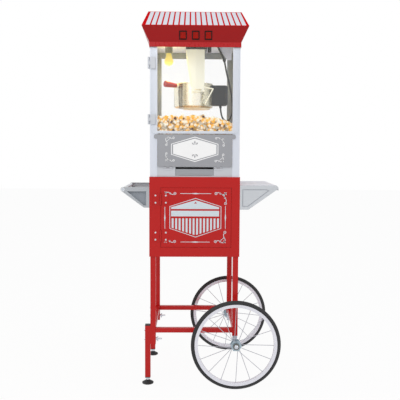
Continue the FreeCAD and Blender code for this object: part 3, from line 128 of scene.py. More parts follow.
def surface(name, colour, metallic, roughness, patch=(60, 60, 60), patch_tone=0.06,
            grain=(6, 6, 6), grain_depth=0.02, grain_gloss=0.05, edge=0.6, colour_link=None,
            **sockets):
    """A painted, plated or moulded surface: uneven tone in patches, fine relief and eased edges.

    patch and grain are lengths in millimetres along X, Y and Z. grain_depth is the relief and
    edge the radius of the eased edges, both in millimetres. colour_link may build the colour.
    """
    material, tree, out = blank_material(name)
    tone = marks(tree, patch)
    relief = marks(tree, grain)
    if colour_link:
        colour_out = colour_link(tree, tone)
    else:
        colour_out = node(tree, "ShaderNodeMix", {"A": shade(colour, 1 - patch_tone),
                                                  "B": shade(colour, 1 + patch_tone)},
                          {"Factor": tone}, data_type="RGBA").outputs[2]
    gloss = node(tree, "ShaderNodeMapRange",
                 {"From Min": 0.3, "From Max": 0.7, "To Min": max(0.02, roughness - grain_gloss),
                  "To Max": roughness + grain_gloss}, {"Value": relief})
    links = {"Height": relief}
    if edge:
        rounded = node(tree, "ShaderNodeBevel", {"Radius": edge / 1000}, samples=4)
        links["Normal"] = rounded.outputs["Normal"]
    bump = node(tree, "ShaderNodeBump", {"Strength": 1.0, "Distance": grain_depth / 1000}, links)
    values = {"Metallic": metallic}
    values.update({key.replace("_", " "): value for key, value in sockets.items()})
    shader = node(tree, "ShaderNodeBsdfPrincipled", values,
                  {"Base Color": colour_out, "Roughness": gloss.outputs["Result"],
                   "Normal": bump.outputs["Normal"]})
    tree.links.new(shader.outputs["BSDF"], out.inputs["Surface"])
    return material


def dress(names, *materials):
    """Give CAD nodes their materials. Faces keep the first one until they are told otherwise."""
    for name in names:
        mesh = frame["nodes"][name].data
        mesh.materials.clear()
        for material in materials:
            mesh.materials.append(material)
        for polygon in mesh.polygons:
            polygon.material_index = 0


def redress(name, number, chosen):
    """Give the faces of a CAD node that pass a test another of its materials."""
    for polygon in frame["nodes"][name].data.polygons:
        if chosen(polygon.center, polygon.normal):
            polygon.material_index = number


def faces_inward(centre, normal):
    """Whether a face of the case or the canopy looks towards its upright middle line."""
    return normal.x * (centre.x - case_middle) + normal.y * centre.y < -0.01


def nodes_with(*slots):
    """The CAD nodes whose record names one of these material slots."""
    return [part["node"] for part in frame["record"]["subparts"] if part["material_slot"] in slots]


def new_piece(name, mesh_or_curve, body, material):
    """Put a new piece in the scene, give it its finish and let it ride on a body, if any."""
    piece = bpy.data.objects.new(name, mesh_or_curve)
    bpy.context.scene.collection.objects.link(piece)
    piece.data.materials.append(material)
    if body:
        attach(piece, body)
    return piece


def mesh_from(name, work):
    """Turn a bmesh into mesh data and free it."""
    bmesh.ops.recalc_face_normals(work, faces=work.faces)
    mesh = bpy.data.meshes.new(name)
    work.to_mesh(mesh)
    work.free()
    return mesh


# ---- settings ----
class CartStageSettings(PropertyGroup):
    lens: FloatProperty(name="Lens", description="Focal length on a 36 mm sensor",
                        default=57.3, unit="CAMERA")
    turn: FloatProperty(name="Turn", description="Camera heading away from straight ahead",
                        default=-0.017978, subtype="ANGLE")
    down: FloatProperty(name="Down", description="How far the camera looks down",
                        default=0.073959, subtype="ANGLE")
    roll: FloatProperty(name="Roll", description="Camera roll", default=-0.005324, subtype="ANGLE")
    place: FloatVectorProperty(name="Place", description="Where the camera stands", size=3,
                               default=(-0.050185, -2.783348, 0.957028), subtype="TRANSLATION")
    sky: FloatProperty(name="Sky", description="Strength of the plain light from all round",
                       default=0.62, min=0.0)
    key: FloatProperty(name="Key", description="Power of the large soft light in front",
                       default=36.0, min=0.0, unit="POWER")
    side: FloatProperty(name="Side", description="Power of the soft light on the right",
                        default=12.0, min=0.0, unit="POWER")


class CartPaintSettings(PropertyGroup):
    red: FloatVectorProperty(name="Red", description="Powder coat of legs and cabinet", size=3,
                             default=linear("BE120F"), subtype="COLOR")
    roof_red: FloatVectorProperty(name="Roof red", description="Enamel of the roof lid", size=3,
                                  default=linear("DA161B"), subtype="COLOR")
    white: FloatVectorProperty(name="White", description="Printed stripes of the roof", size=3,
                               default=linear("EEF2FC"), subtype="COLOR")
    pale: FloatVectorProperty(name="Pale", description="Coat of the side shelf",
                              size=3, default=linear("CED2D7"), subtype="COLOR")
    dark: FloatVectorProperty(name="Dark", description="Coat of the terminal cover", size=3,
                              default=linear("2F3237"), subtype="COLOR")
    print_height: FloatProperty(name="Print height", description="How far the prints stand proud",
                                default=0.00025, unit="LENGTH")


class CartMetalSettings(PropertyGroup):
    profile: FloatVectorProperty(name="Profile", description="Anodised posts and rails", size=3,
                                 default=linear("D9DDE7"), subtype="COLOR")
    sheet: FloatVectorProperty(name="Sheet", description="Brushed sheet of flap and deck",
                               size=3, default=linear("A0A1A6"), subtype="COLOR")
    pan: FloatVectorProperty(name="Pan", description="Polished kettle and stirrer", size=3,
                             default=linear("EDE8DC"), subtype="COLOR")
    bright: FloatVectorProperty(name="Bright", description="Plated rims of the wheels", size=3,
                                default=linear("E4E4EC"), subtype="COLOR")
    zinc: FloatVectorProperty(name="Zinc", description="Zinc of bolts and brackets", size=3,
                              default=linear("CDD2DA"), subtype="COLOR")


class CartCornSettings(PropertyGroup):
    size: FloatProperty(name="Size", description="Width of a popped kernel", default=0.0295,
                        unit="LENGTH")
    spacing: FloatProperty(name="Spacing", description="Distance between kernels", default=0.0215,
                           unit="LENGTH")
    seed: IntProperty(name="Seed", description="Start of the random arrangement", default=11)
    cream: FloatVectorProperty(name="Cream", description="Burst flesh", size=3,
                               default=linear("FFFCEE"), subtype="COLOR")
    butter: FloatVectorProperty(name="Butter", description="Buttered hollows", size=3,
                                default=linear("FFC03C"), subtype="COLOR")
    hull: FloatVectorProperty(name="Hull", description="Bits of skin", size=3,
                              default=linear("4A1E08"), subtype="COLOR")


class CartLampSettings(PropertyGroup):
    glow: FloatVectorProperty(name="Glow", description="Colour of the lit bulb", size=3,
                              default=linear("FBE37A"), subtype="COLOR")
    strength: FloatProperty(name="Strength", description="Brightness of the bulb's frosted glass",
                            default=1.05, min=0.0)
    power: FloatProperty(name="Power", description="Light that it throws into the case",
                         default=0.9, min=0.0, unit="POWER")


# ---- stage ----
class CART_OT_stage(Operator):
    """Set up the camera, the pale floor, the soft lights and the white surroundings"""
    bl_idname = "cart.stage"
    bl_label = "Stage"

    def execute(self, context):
        settings = context.scene.cart_stage
        context.scene.view_settings.view_transform = "Standard"
        turn, down, roll = settings.turn, settings.down, settings.roll
        across = Vector((math.cos(turn), math.sin(turn), 0))
        ahead = Vector((-math.sin(turn), math.cos(turn), 0))
        upward = Vector((0, 0, 1))
        look = math.cos(down) * ahead - math.sin(down) * upward
        top = math.sin(down) * ahead + math.cos(down) * upward
        right = math.cos(roll) * across - math.sin(roll) * top
        up = math.sin(roll) * across + math.cos(roll) * top
        lens = bpy.data.cameras.new("camera")
        lens.lens = settings.lens
        lens.sensor_width = 36.0
        lens.clip_start = 0.05
        lens.clip_end = 60.0
        camera = bpy.data.objects.new("camera", lens)
        camera.matrix_world = Matrix.Translation(settings.place) @ \
            Matrix((right, up, -look)).transposed().to_4x4()
        context.scene.collection.objects.link(camera)
        context.scene.camera = camera
        for name, place, size, power, target in (
                ("key_light", (-1.5, -3.0, 2.9), 2.4, settings.key, (0, 0, 0.8)),
                ("side_light", (3.0, -1.3, 1.9), 1.8, settings.side, (0, 0, 0.8))):
            lamp = bpy.data.lights.new(name, "AREA")
            lamp.shape = "SQUARE"
            lamp.size = size
            lamp.energy = power
            light = bpy.data.objects.new(name, lamp)
            light.location = place
            aim = Vector(target) - Vector(place)
            light.rotation_euler = aim.to_track_quat("-Z", "Y").to_euler()
            context.scene.collection.objects.link(light)
        self.build_world(context, settings.sky)
        self.build_floor()
        return {"FINISHED"}

    def seen_directly(self, tree):
        """1 for camera, mirror and see-through rays, 0 for the rays that light the object."""
        path = node(tree, "ShaderNodeLightPath")
        first = node(tree, "ShaderNodeMath", None, {0: path.outputs["Is Camera Ray"],
                                                    1: path.outputs["Is Glossy Ray"]},
                     operation="MAXIMUM")
        return node(tree, "ShaderNodeMath", None, {0: first.outputs[0],
                                                   1: path.outputs["Is Transmission Ray"]},
                    operation="MAXIMUM").outputs[0]

    def build_world(self, context, sky):
        world = bpy.data.worlds.new("white_surroundings")
        world.use_nodes = True
        tree = world.node_tree
        tree.nodes.clear()
        strength = node(tree, "ShaderNodeMapRange", {"To Min": sky, "To Max": 1.0},
                        {"Value": self.seen_directly(tree)})
        back = node(tree, "ShaderNodeBackground", {"Color": (1, 1, 1, 1)},
                    {"Strength": strength.outputs["Result"]})
        node(tree, "ShaderNodeOutputWorld", None, {"Surface": back.outputs["Background"]})
        context.scene.world = world

    def build_floor(self):
        work = bmesh.new()
        bmesh.ops.create_grid(work, x_segments=2, y_segments=2, size=14.0)
        floor = bpy.data.objects.new("floor", mesh_from("floor", work))
        bpy.context.scene.collection.objects.link(floor)
        # Matt white paper: reads white, and keeps a soft contact shadow.
        material, tree, out = blank_material("matt_white_paper")
        tone = marks(tree, (400, 400, 400))
        colour = node(tree, "ShaderNodeMix", {"A": shade(linear("FDFDFD"), 1.0),
                                              "B": shade(linear("FFFFFF"), 1.0)},
                      {"Factor": tone}, data_type="RGBA")
        paper = node(tree, "ShaderNodeBsdfDiffuse", None, {"Color": colour.outputs[2]})
        white = node(tree, "ShaderNodeEmission", {"Color": (1, 1, 1, 1), "Strength": 1.0})
        plain_share = 0.93
        share = node(tree, "ShaderNodeMath", {1: plain_share}, {0: self.seen_directly(tree)},
                     operation="MULTIPLY")
        mixed = node(tree, "ShaderNodeMixShader", None, {0: share.outputs[0],
                                                         1: paper.outputs["BSDF"],
                                                         2: white.outputs["Emission"]})
        tree.links.new(mixed.outputs["Shader"], out.inputs["Surface"])
        floor.data.materials.append(material)


# ---- cord ----
cord_route = [(123, -106, 1333), (129, -107, 1300), (138, -108, 1262), (148, -107, 1222),
              (155, -105, 1182), (158, -101, 1145), (156, -93, 1115), (147, -80, 1096),
              (134, -62, 1091), (121, -45, 1101), (113, -32, 1124), (111, -25, 1150)]


class CART_OT_kettle_cord(Operator):
    """Hang the limp lead between the ceiling's strain relief and the kettle's terminal cover"""
    bl_idname = "cart.kettle_cord"
    bl_label = "Kettle cord"

    diameter = 0.007

    def execute(self, context):
        curve = bpy.data.curves.new("cord_line", "CURVE")
        curve.dimensions = "3D"
        spline = curve.splines.new("NURBS")
        spline.points.add(len(cord_route) - 1)
        for point, place in zip(spline.points, cord_route):
            point.co = (*at(*place), 1.0)
        spline.order_u = 3
        spline.use_endpoint_u = True
        curve.resolution_u = 8
        line = bpy.data.objects.new("cord_line", curve)
        sampled = bpy.data.meshes.new_from_object(line)
        path = [vertex.co.copy() for vertex in sampled.vertices]
        bpy.data.objects.remove(line)
        bpy.data.meshes.remove(sampled)
        piece = new_piece("hanging_cord", self.tube(path, self.diameter / 2), None,
                          self.rubber())
        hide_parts("kettle_cord")
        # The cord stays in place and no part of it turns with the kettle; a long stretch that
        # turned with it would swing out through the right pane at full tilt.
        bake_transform(piece)
        return {"FINISHED"}

    def tube(self, path, radius, sides=14):
        """A closed tube that follows the path without twisting."""
        work = bmesh.new()
        direction = (path[1] - path[0]).normalized()
        side = direction.orthogonal().normalized()
        rings = []
        for i, centre in enumerate(path):
            following = path[min(i + 1, len(path) - 1)] - path[max(i - 1, 0)]
            turn = direction.rotation_difference(following.normalized())
            side = turn @ side
            direction = following.normalized()
            other = direction.cross(side)
            ring = []
            for k in range(sides):
                angle = math.tau * k / sides
                ring.append(work.verts.new(centre + radius * (math.cos(angle) * side
                                                              + math.sin(angle) * other)))
            rings.append(ring)
        for a, b in zip(rings, rings[1:]):
            for k in range(sides):
                work.faces.new((a[k], a[(k + 1) % sides], b[(k + 1) % sides], b[k])).smooth = True
        work.faces.new(rings[0])
        work.faces.new(list(reversed(rings[-1])))
        return mesh_from("hanging_cord", work)

    def rubber(self):
        # Extruded black rubber: satin, with faint lengthwise drag marks.
        return surface("extruded_black_rubber", linear("161618"), 0.0, 0.42, patch=(30, 30, 30),
                       grain=(2.5, 2.5, 18), grain_depth=0.04, edge=0)


# ---- finishes of the CAD nodes ----
class CART_OT_red_paint(Operator):
    """Coat the legs, rails, cabinet and canopy in gloss red"""
    bl_idname = "cart.red_paint"
    bl_label = "Red paint"

    def execute(self, context):
        colours = context.scene.cart_paint
        # Gloss powder coat on steel: a wet-looking red with faint orange peel, whose real
        # 2 mm dimples are drawn 7 mm wide so that they show.
        coat = surface("gloss_red_powder_coated_steel", colours.red, 0.0, 0.34,
                       patch=(110, 110, 170), patch_tone=0.06, grain=(7, 7, 7), grain_depth=0.008,
                       grain_gloss=0.04, edge=0.9, Specular_IOR_Level=0.3, Coat_Weight=0.06,
                       Coat_Roughness=0.15)
        # Faces across the door's seam: a brighter red with a faint glow, painted light in the seam.
        rims = surface("red_coat_with_painted_seam_light", linear("D8161A"), 0.0, 0.4,
                       patch=(60, 60, 60), grain=(7, 7, 7), grain_depth=0.008, edge=0,
                       Emission_Color=linear("BE120F") + (1.0,), Emission_Strength=0.3)
        dress(nodes_with("red_paint", "red_white_paint"), coat, rims)
        door_low, door_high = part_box("cabinet_door")
        seam = 0.002
        # Edges of the door and of its opening take the painted seam light.
        redress("cabinet_door", 1, lambda centre, normal: abs(normal.y) < 0.1)
        redress("cabinet_front", 1, lambda centre, normal: abs(normal.y) < 0.1
                and door_low.x - seam < centre.x < door_high.x + seam
                and door_low.z - seam < centre.z < door_high.z + seam)
        # Stove enamel on folded sheet: smoother than the powder coat, so its mirror is sharper.
        enamel = surface("red_stove_enamelled_sheet", linear("B8171B"), 0.0, 0.28,
                         patch=(150, 150, 150), patch_tone=0.05, grain=(9, 9, 9),
                         grain_depth=0.006, grain_gloss=0.03, edge=0.9, Specular_IOR_Level=0.3,
                         Coat_Weight=0.06, Coat_Roughness=0.1)
        # The same enamel on the outward-leaning front, which the light from above reaches less.
        dark = surface("red_stove_enamelled_fascia", linear("A00E10"), 0.0, 0.32,
                       patch=(150, 150, 150), patch_tone=0.05, grain=(9, 9, 9),
                       grain_depth=0.006, grain_gloss=0.03, edge=0.9, Specular_IOR_Level=0.2,
                       Coat_Weight=0.04, Coat_Roughness=0.1)
        # Inside of the canopy: bare grey sheet with the dull bloom of its galvanising.
        bare = surface("galvanised_sheet_inside_canopy", linear("A2A3A4"), 0.3, 0.5,
                       patch=(25, 25, 25), patch_tone=0.1, grain=(6, 6, 6), grain_depth=0.01,
                       edge=0)
        dress(["roof_canopy"], enamel, dark, bare)
        redress("roof_canopy", 1, lambda centre, normal: normal.z < -0.2 and normal.y < -0.2)
        redress("roof_canopy", 2, faces_inward)
        # Pan-head screws of the door hinges: bright zinc on the red leaves.
        screws = surface("bright_zinc_screws", linear("DADDE2"), 0.8, 0.3, patch=(4, 4, 4),
                         grain=(2, 2, 2), grain_depth=0.01, edge=0.4)
        barrel_radius, leaf, from_pin, head_reach, proud = 0.0032, 0.0015, 0.021, 0.006, 0.0002
        pin_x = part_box("cabinet_hinge_leaves")[1].x - barrel_radius
        leaf_front = door_low.y - leaf
        for name in ("cabinet_hinge_leaves", "door_hinge_leaves"):
            dress([name], coat, screws)
            redress(name, 1, lambda centre, normal: centre.y < leaf_front - proud
                    and abs(abs(centre.x - pin_x) - from_pin) < head_reach)
        return {"FINISHED"}


class CART_OT_roof_print(Operator):
    """Print the white stripes on both slopes of the roof"""
    bl_idname = "cart.roof_print"
    bl_label = "Roof stripes"

    # Number of stripes, then millimetres: stripe to stripe, one stripe's width, and how far their
    # middle lies to the right of the case's. Taper is the ridge's spacing against the rim's.
    stripes = 18
    pitch = 22.5
    width = 16.3
    middle = 2.0
    taper = 0.96
    # Bare red along the rim and along the ridge, in metres.
    rim_margin = 0.0035
    ridge_margin = 0.0025

    def execute(self, context):
        colours = context.scene.cart_paint
        low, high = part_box("roof_lid")
        left = self.middle - (self.stripes * self.pitch - (self.pitch - self.width)) / 2
        ends = (case_middle + left / 1000, case_middle + (left + self.stripes * self.pitch) / 1000)

        def striped(tree, tone):
            axes = object_axes(tree)
            from_middle = node(tree, "ShaderNodeMath", {1: (ends[0] + ends[1]) / 2},
                               {0: axes["X"]}, operation="SUBTRACT")
            narrowing = node(tree, "ShaderNodeMapRange",
                             {"From Min": low.z, "From Max": high.z, "To Min": 1.0,
                              "To Max": self.taper}, {"Value": axes["Z"]})
            spread = node(tree, "ShaderNodeMath", None, {0: from_middle.outputs[0],
                                                         1: narrowing.outputs["Result"]},
                          operation="DIVIDE")
            half = (ends[1] - ends[0]) / 2
            across = node(tree, "ShaderNodeMapRange",
                          {"From Min": -half, "From Max": half, "To Max": self.stripes},
                          {"Value": spread.outputs[0]}, clamp=False)
            part = node(tree, "ShaderNodeMath", None, {0: across.outputs["Result"]},
                        operation="FRACT")
            on = []
            for source, limit, kind in (
                    (part.outputs[0], self.width / self.pitch, "LESS_THAN"),
                    (across.outputs["Result"], 0.0, "GREATER_THAN"),
                    (across.outputs["Result"], float(self.stripes), "LESS_THAN"),
                    (axes["Z"], low.z + self.rim_margin, "GREATER_THAN"),
                    (axes["Z"], high.z - self.ridge_margin, "LESS_THAN")):
                on.append(node(tree, "ShaderNodeMath", {1: limit}, {0: source}, operation=kind))
            total = on[0]
            for test in on[1:]:
                total = node(tree, "ShaderNodeMath", None,
                             {0: total.outputs[0], 1: test.outputs[0]}, operation="MULTIPLY")
            red = node(tree, "ShaderNodeMix", {"A": shade(colours.roof_red, 0.96),
                                               "B": shade(colours.roof_red, 1.04)},
                       {"Factor": tone}, data_type="RGBA")
            white = node(tree, "ShaderNodeMix", {"A": shade(colours.white, 0.96),
                                                 "B": shade(colours.white, 1.02)},
                         {"Factor": tone}, data_type="RGBA")
            return node(tree, "ShaderNodeMix", None, {"Factor": total.outputs[0],
                                                      "A": red.outputs[2], "B": white.outputs[2]},
                        data_type="RGBA").outputs[2]

        # Screen-printed enamel: white ink over the red, both under the same gloss.
        printed = surface("screen_printed_enamelled_sheet", colours.roof_red, 0.0, 0.26,
                          patch=(150, 150, 150), grain=(9, 9, 9), grain_depth=0.005,
                          grain_gloss=0.03, edge=0.9, colour_link=striped,
                          Specular_IOR_Level=0.0)
        # Folded ends of the roof: the same bright enamel without print.
        plain = surface("bright_red_stove_enamelled_sheet", colours.roof_red, 0.0, 0.3,
                        patch=(150, 150, 150), patch_tone=0.05, grain=(9, 9, 9),
                        grain_depth=0.006, grain_gloss=0.03, edge=0.9, Specular_IOR_Level=0.0)
        dress(["roof_lid"], plain, printed)
        redress("roof_lid", 1, lambda centre, normal: abs(normal.y) > 0.3 and normal.z > 0.1)
        return {"FINISHED"}


class CART_OT_sheet_and_profile(Operator):
    """Finish the posts, the brushed and coated sheet, the terminal cover and the motor"""
    bl_idname = "cart.sheet_and_profile"
    bl_label = "Sheet and profile"

    def execute(self, context):
        metals = context.scene.cart_metal
        colours = context.scene.cart_paint
        # Anodised aluminium, drawn lengthwise: pale satin with faint upright lines, whose real
        # 0.3 mm spacing is drawn 3 mm wide so that it shows.
        profile = surface("satin_anodised_aluminium", metals.profile, 0.6, 0.36,
                          patch=(80, 80, 300), patch_tone=0.04, grain=(3, 3, 220),
                          grain_depth=0.006, edge=0.7)
        # Inner sides of posts and rails, where the glazing channel keeps out the light.
        channel = surface("anodised_glazing_channel", linear("A3A9AC"), 0.2, 0.5,
                          patch=(80, 80, 300), patch_tone=0.06, grain=(3, 3, 220),
                          grain_depth=0.006, edge=0)
        dress(nodes_with("silver_profile"), profile, channel)
        redress("case_frame", 1, faces_inward)
        # Brushed stainless sheet: mid grey with lines across, drawn 2.5 mm apart for 0.4 mm.
        dress(nodes_with("gray_sheet"),
              surface("brushed_stainless_sheet", metals.sheet, 0.5, 0.42, patch=(140, 70, 70),
                      patch_tone=0.05, grain=(160, 2.5, 2.5), grain_depth=0.006, edge=0.7))
        # The same sheet left paler by a finer belt: apron, small hinges and clips.
        pale_sheet = surface("fine_brushed_stainless_sheet", linear("C9CCD2"), 0.4, 0.4,
                             patch=(140, 70, 70), patch_tone=0.04, grain=(160, 2.5, 2.5),
                             grain_depth=0.006, edge=0.7)
        dress(["case_base", "case_hinge_leaves", "door_glass_clips"], pale_sheet)
        # Enamelled sheet of the ceiling and the cord's guard: raised to near-white as painted light
        # from the lamp, with a faint cool tone.
        dress(["ceiling_plate", "ceiling_guard"],
              surface("ceiling_enamel_with_painted_lamp_light", linear("E9E9F4"), 0.1, 0.45, patch=(60, 60, 60),
                      patch_tone=0.04, grain=(6, 6, 6), grain_depth=0.006, edge=0.7))
        # Drawer front: bent from the darker side of the sheet, so it reads a tone deeper.
        dress(["crumb_drawer"],
              surface("dull_stainless_sheet", linear("A0A3A8"), 0.5, 0.48, patch=(90, 60, 60),
                      patch_tone=0.05, grain=(120, 2.5, 2.5), grain_depth=0.006, edge=0.7))
        # Satin powder coat: pale, slightly rough, with an even fine dimple.
        pale = surface("pale_satin_powder_coat", colours.pale, 0.15, 0.42, patch=(70, 70, 70),
                       patch_tone=0.05, grain=(5, 5, 5), grain_depth=0.01, edge=0.8)
        # Floors of the bracket's pressed panels: greyer and duller, as painted shade in the recess.
        thin = surface("powder_coat_with_painted_recess_shade", linear("9298A0"), 0.15, 0.5,
                       patch=(30, 30, 30), patch_tone=0.12, grain=(5, 5, 5), grain_depth=0.01,
                       edge=0)
        # Shallow groove round the shelf's panel: a thread of shade on the pale coat.
        groove = surface("powder_coat_in_groove", linear("B4B8BE"), 0.15, 0.5, patch=(30, 30, 30),
                         patch_tone=0.06, grain=(5, 5, 5), grain_depth=0.01, edge=0)
        # Handle bracket: the same coat a shade darker, as its sheet was left unpolished.
        grey = surface("grey_satin_powder_coat", linear("B3B7BC"), 0.25, 0.4, patch=(50, 50, 50),
                       patch_tone=0.08, grain=(5, 5, 5), grain_depth=0.01, edge=0.8)
        # Tops, which the light from above brings up to a cool near-white.
        top = surface("pale_powder_coat_on_tops", linear("E6E8F2"), 0.1, 0.45, patch=(70, 70, 70),
                      patch_tone=0.04, grain=(5, 5, 5), grain_depth=0.01, edge=0.8)
        dress(["side_shelf"], pale, groove, top)
        dress(["handle_bracket"], grey, thin)
        outer = abs(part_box("handle_bracket")[0].y)

        def depth(centre):
            """How far a point of the bracket or the shelf lies in from its nearer side."""
            return outer - abs(centre.y)

        # The bracket's pressed panels lie 8 to 11.5 mm in, and the shelf's groove under 2.2 mm.
        # The bracket's panel floors take the painted recess shade.
        redress("handle_bracket", 1, lambda centre, normal: abs(normal.y) > 0.9
                and 0.008 < depth(centre) < 0.0115 and normal.y * centre.y > 0)
        redress("side_shelf", 1, lambda centre, normal: 0.0003 < depth(centre) < 0.0022)
        redress("side_shelf", 2, lambda centre, normal: normal.z > 0.5)
        # Dark powder coat on the terminal cover: matt, with a coarse sandy dimple.
        dress(nodes_with("dark_cover"),
              surface("dark_sandy_powder_coat", colours.dark, 0.1, 0.5, patch=(30, 30, 30),
                      patch_tone=0.08, grain=(3, 3, 3), grain_depth=0.02, edge=1.2))
        # Black paint on the motor: satin and slightly dusty.
        dress(nodes_with("black_metal"),
              surface("satin_black_painted_steel", linear("1D1D20"), 0.0, 0.45, patch=(40, 40, 40),
                      patch_tone=0.15, grain=(4, 4, 4), grain_depth=0.04, edge=0.8))
        return {"FINISHED"}


class CART_OT_bright_metal(Operator):
    """Finish the kettle, the column, the wheels and all the fasteners"""
    bl_idname = "cart.bright_metal"
    bl_label = "Bright metal"

    def execute(self, context):
        metals = context.scene.cart_metal
        # Polished stainless: a soft mirror, with scuffs round the pan from scouring.
        dress(nodes_with("stainless"),
              surface("polished_stainless_steel", metals.pan, 1.0, 0.22, patch=(25, 25, 60),
                      patch_tone=0.05, grain=(14, 14, 2.5), grain_depth=0.012, grain_gloss=0.08,
                      edge=0.7))
        # Polished stainless: straw, with upright bands of smoky grey, which are painted
        # reflections.
        dress(["kettle_pot"],
              surface("polished_stainless_with_painted_reflections", metals.pan, 0.75, 0.26, patch=(10, 10, 26),
                      grain=(14, 14, 2.5), grain_depth=0.01, grain_gloss=0.06, edge=0.7,
                      colour_link=self.painted_reflections))
        # Bead-blasted stainless: column and kettle frame, near-white with a faint cream glow, which
        # is painted lamp light, and a dark olive line of painted shade where the column's cut edge
        # shows.
        blasted = surface("bead_blasted_stainless_with_painted_lamp_glow", linear("FFFEEE"), 0.1, 0.4,
                          patch=(40, 40, 120), patch_tone=0.03, grain=(3, 3, 3),
                          grain_depth=0.01, edge=0, Emission_Color=linear("FFFBDC") + (1.0,),
                          Emission_Strength=0.12)
        edge_shade = surface("painted_shade_on_column_edges", linear("4E4B34"), 0.2, 0.6, patch=(10, 10, 40),
                           patch_tone=0.15, grain=(3, 3, 3), grain_depth=0.01, edge=0)
        dress(["drive_column", "kettle_frame"], blasted, edge_shade)
        # The column's side edges take the painted shade.
        redress("drive_column", 1, lambda centre, normal: abs(normal.x) > 0.8)
        # Worn chromium plate: a clouded mirror, slightly wavy where the section was rolled.
        dress(nodes_with("bright_steel"),
              surface("chromium_plated_steel", metals.bright, 0.45, 0.3, patch=(20, 20, 20),
                      patch_tone=0.05, grain=(9, 9, 9), grain_depth=0.006, grain_gloss=0.05,
                      edge=0.4))
        # Drawn wire of the spokes: darker than the rims, since no plate brightens it.
        dress(["front_spokes", "rear_spokes"],
              surface("drawn_steel_wire", linear("B2B4BC"), 0.5, 0.4, patch=(20, 20, 20),
                      patch_tone=0.05, grain=(4, 4, 4), grain_depth=0.005, edge=0))
        # Bright zinc: duller than chromium, in cloudy flakes about 6 mm across.
        zinc = surface("zinc_plated_steel", metals.zinc, 0.8, 0.36, patch=(6, 6, 6),
                       patch_tone=0.08, grain=(3, 3, 3), grain_depth=0.008, grain_gloss=0.08,
                       edge=0.5)
        dress(nodes_with("galvanised"), zinc)
        # Greased washer under each axle nut: dark grey, with a soft sheen.
        grease = surface("greased_steel_washer", linear("6E6D68"), 0.6, 0.4, patch=(5, 5, 5),
                         patch_tone=0.12, grain=(3, 3, 3), grain_depth=0.01, edge=0.4)
        # Blue-passivated zinc of the hubs: cloudy and cooler than the bolts.
        dress(["front_hub", "rear_hub"],
              surface("blue_passivated_zinc", linear("A8BAC4"), 0.6, 0.4, patch=(8, 8, 8),
                      patch_tone=0.1, grain=(3, 3, 3), grain_depth=0.008, edge=0.5))
        # Ends of the push bar: a bright turned ring round the zinc plug.
        turned = surface("turned_steel_tube_end", linear("FAFBFF"), 0.3, 0.35, patch=(5, 5, 5),
                         patch_tone=0.04, grain=(3, 3, 3), grain_depth=0.005, edge=0)
        dress(["push_bar"], zinc, turned)
        low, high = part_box("push_bar")
        middle, plug_radius = (low + high) / 2, 0.0058
        redress("push_bar", 1, lambda centre, normal: abs(normal.y) > 0.9
                and math.hypot(centre.x - middle.x, centre.z - middle.z) > plug_radius)
        dress(["axle_brackets"], zinc, grease)
        hub_end, washer = abs(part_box("front_hub")[0].y), 0.0029
        redress("axle_brackets", 1,
                lambda centre, normal: hub_end < abs(centre.y) < hub_end + washer)
        return {"FINISHED"}

    def painted_reflections(self, tree, tone):
        """Painted reflections: pale and smoky bands across the kettle, from its left to its right,
        swaying by up to 6 mm.
        """
        left, width, sway_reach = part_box("kettle_pot")[0].x, 0.167, 0.006
        sway = node(tree, "ShaderNodeMapRange", {"To Min": -sway_reach, "To Max": sway_reach},
                    {"Value": tone})
        across = node(tree, "ShaderNodeMath", None, {0: object_axes(tree)["X"],
                                                     1: sway.outputs["Result"]}, operation="ADD")
        share = node(tree, "ShaderNodeMapRange", {"From Min": left, "From Max": left + width},
                     {"Value": across.outputs[0]})
        ramp = node(tree, "ShaderNodeValToRGB", None, {"Fac": share.outputs["Result"]})
        bands = ((0.0, "F8F6E8"), (0.12, "F6F2E2"), (0.145, "7A766C"), (0.18, "B4AE9E"),
                 (0.21, "7C776C"), (0.26, "D8CFB8"), (0.34, "E6D6B8"), (0.42, "FFFBEA"),
                 (0.66, "FFFBEE"), (0.76, "B9B5A0"), (0.9, "C6C2AE"), (1.0, "DAD6C4"))
        stops = ramp.color_ramp.elements
        while len(stops) < len(bands):
            stops.new(1.0)
        for stop, (position, tint) in zip(stops, bands):
            stop.position = position
            stop.color = linear(tint) + (1.0,)
        return ramp.outputs["Color"]


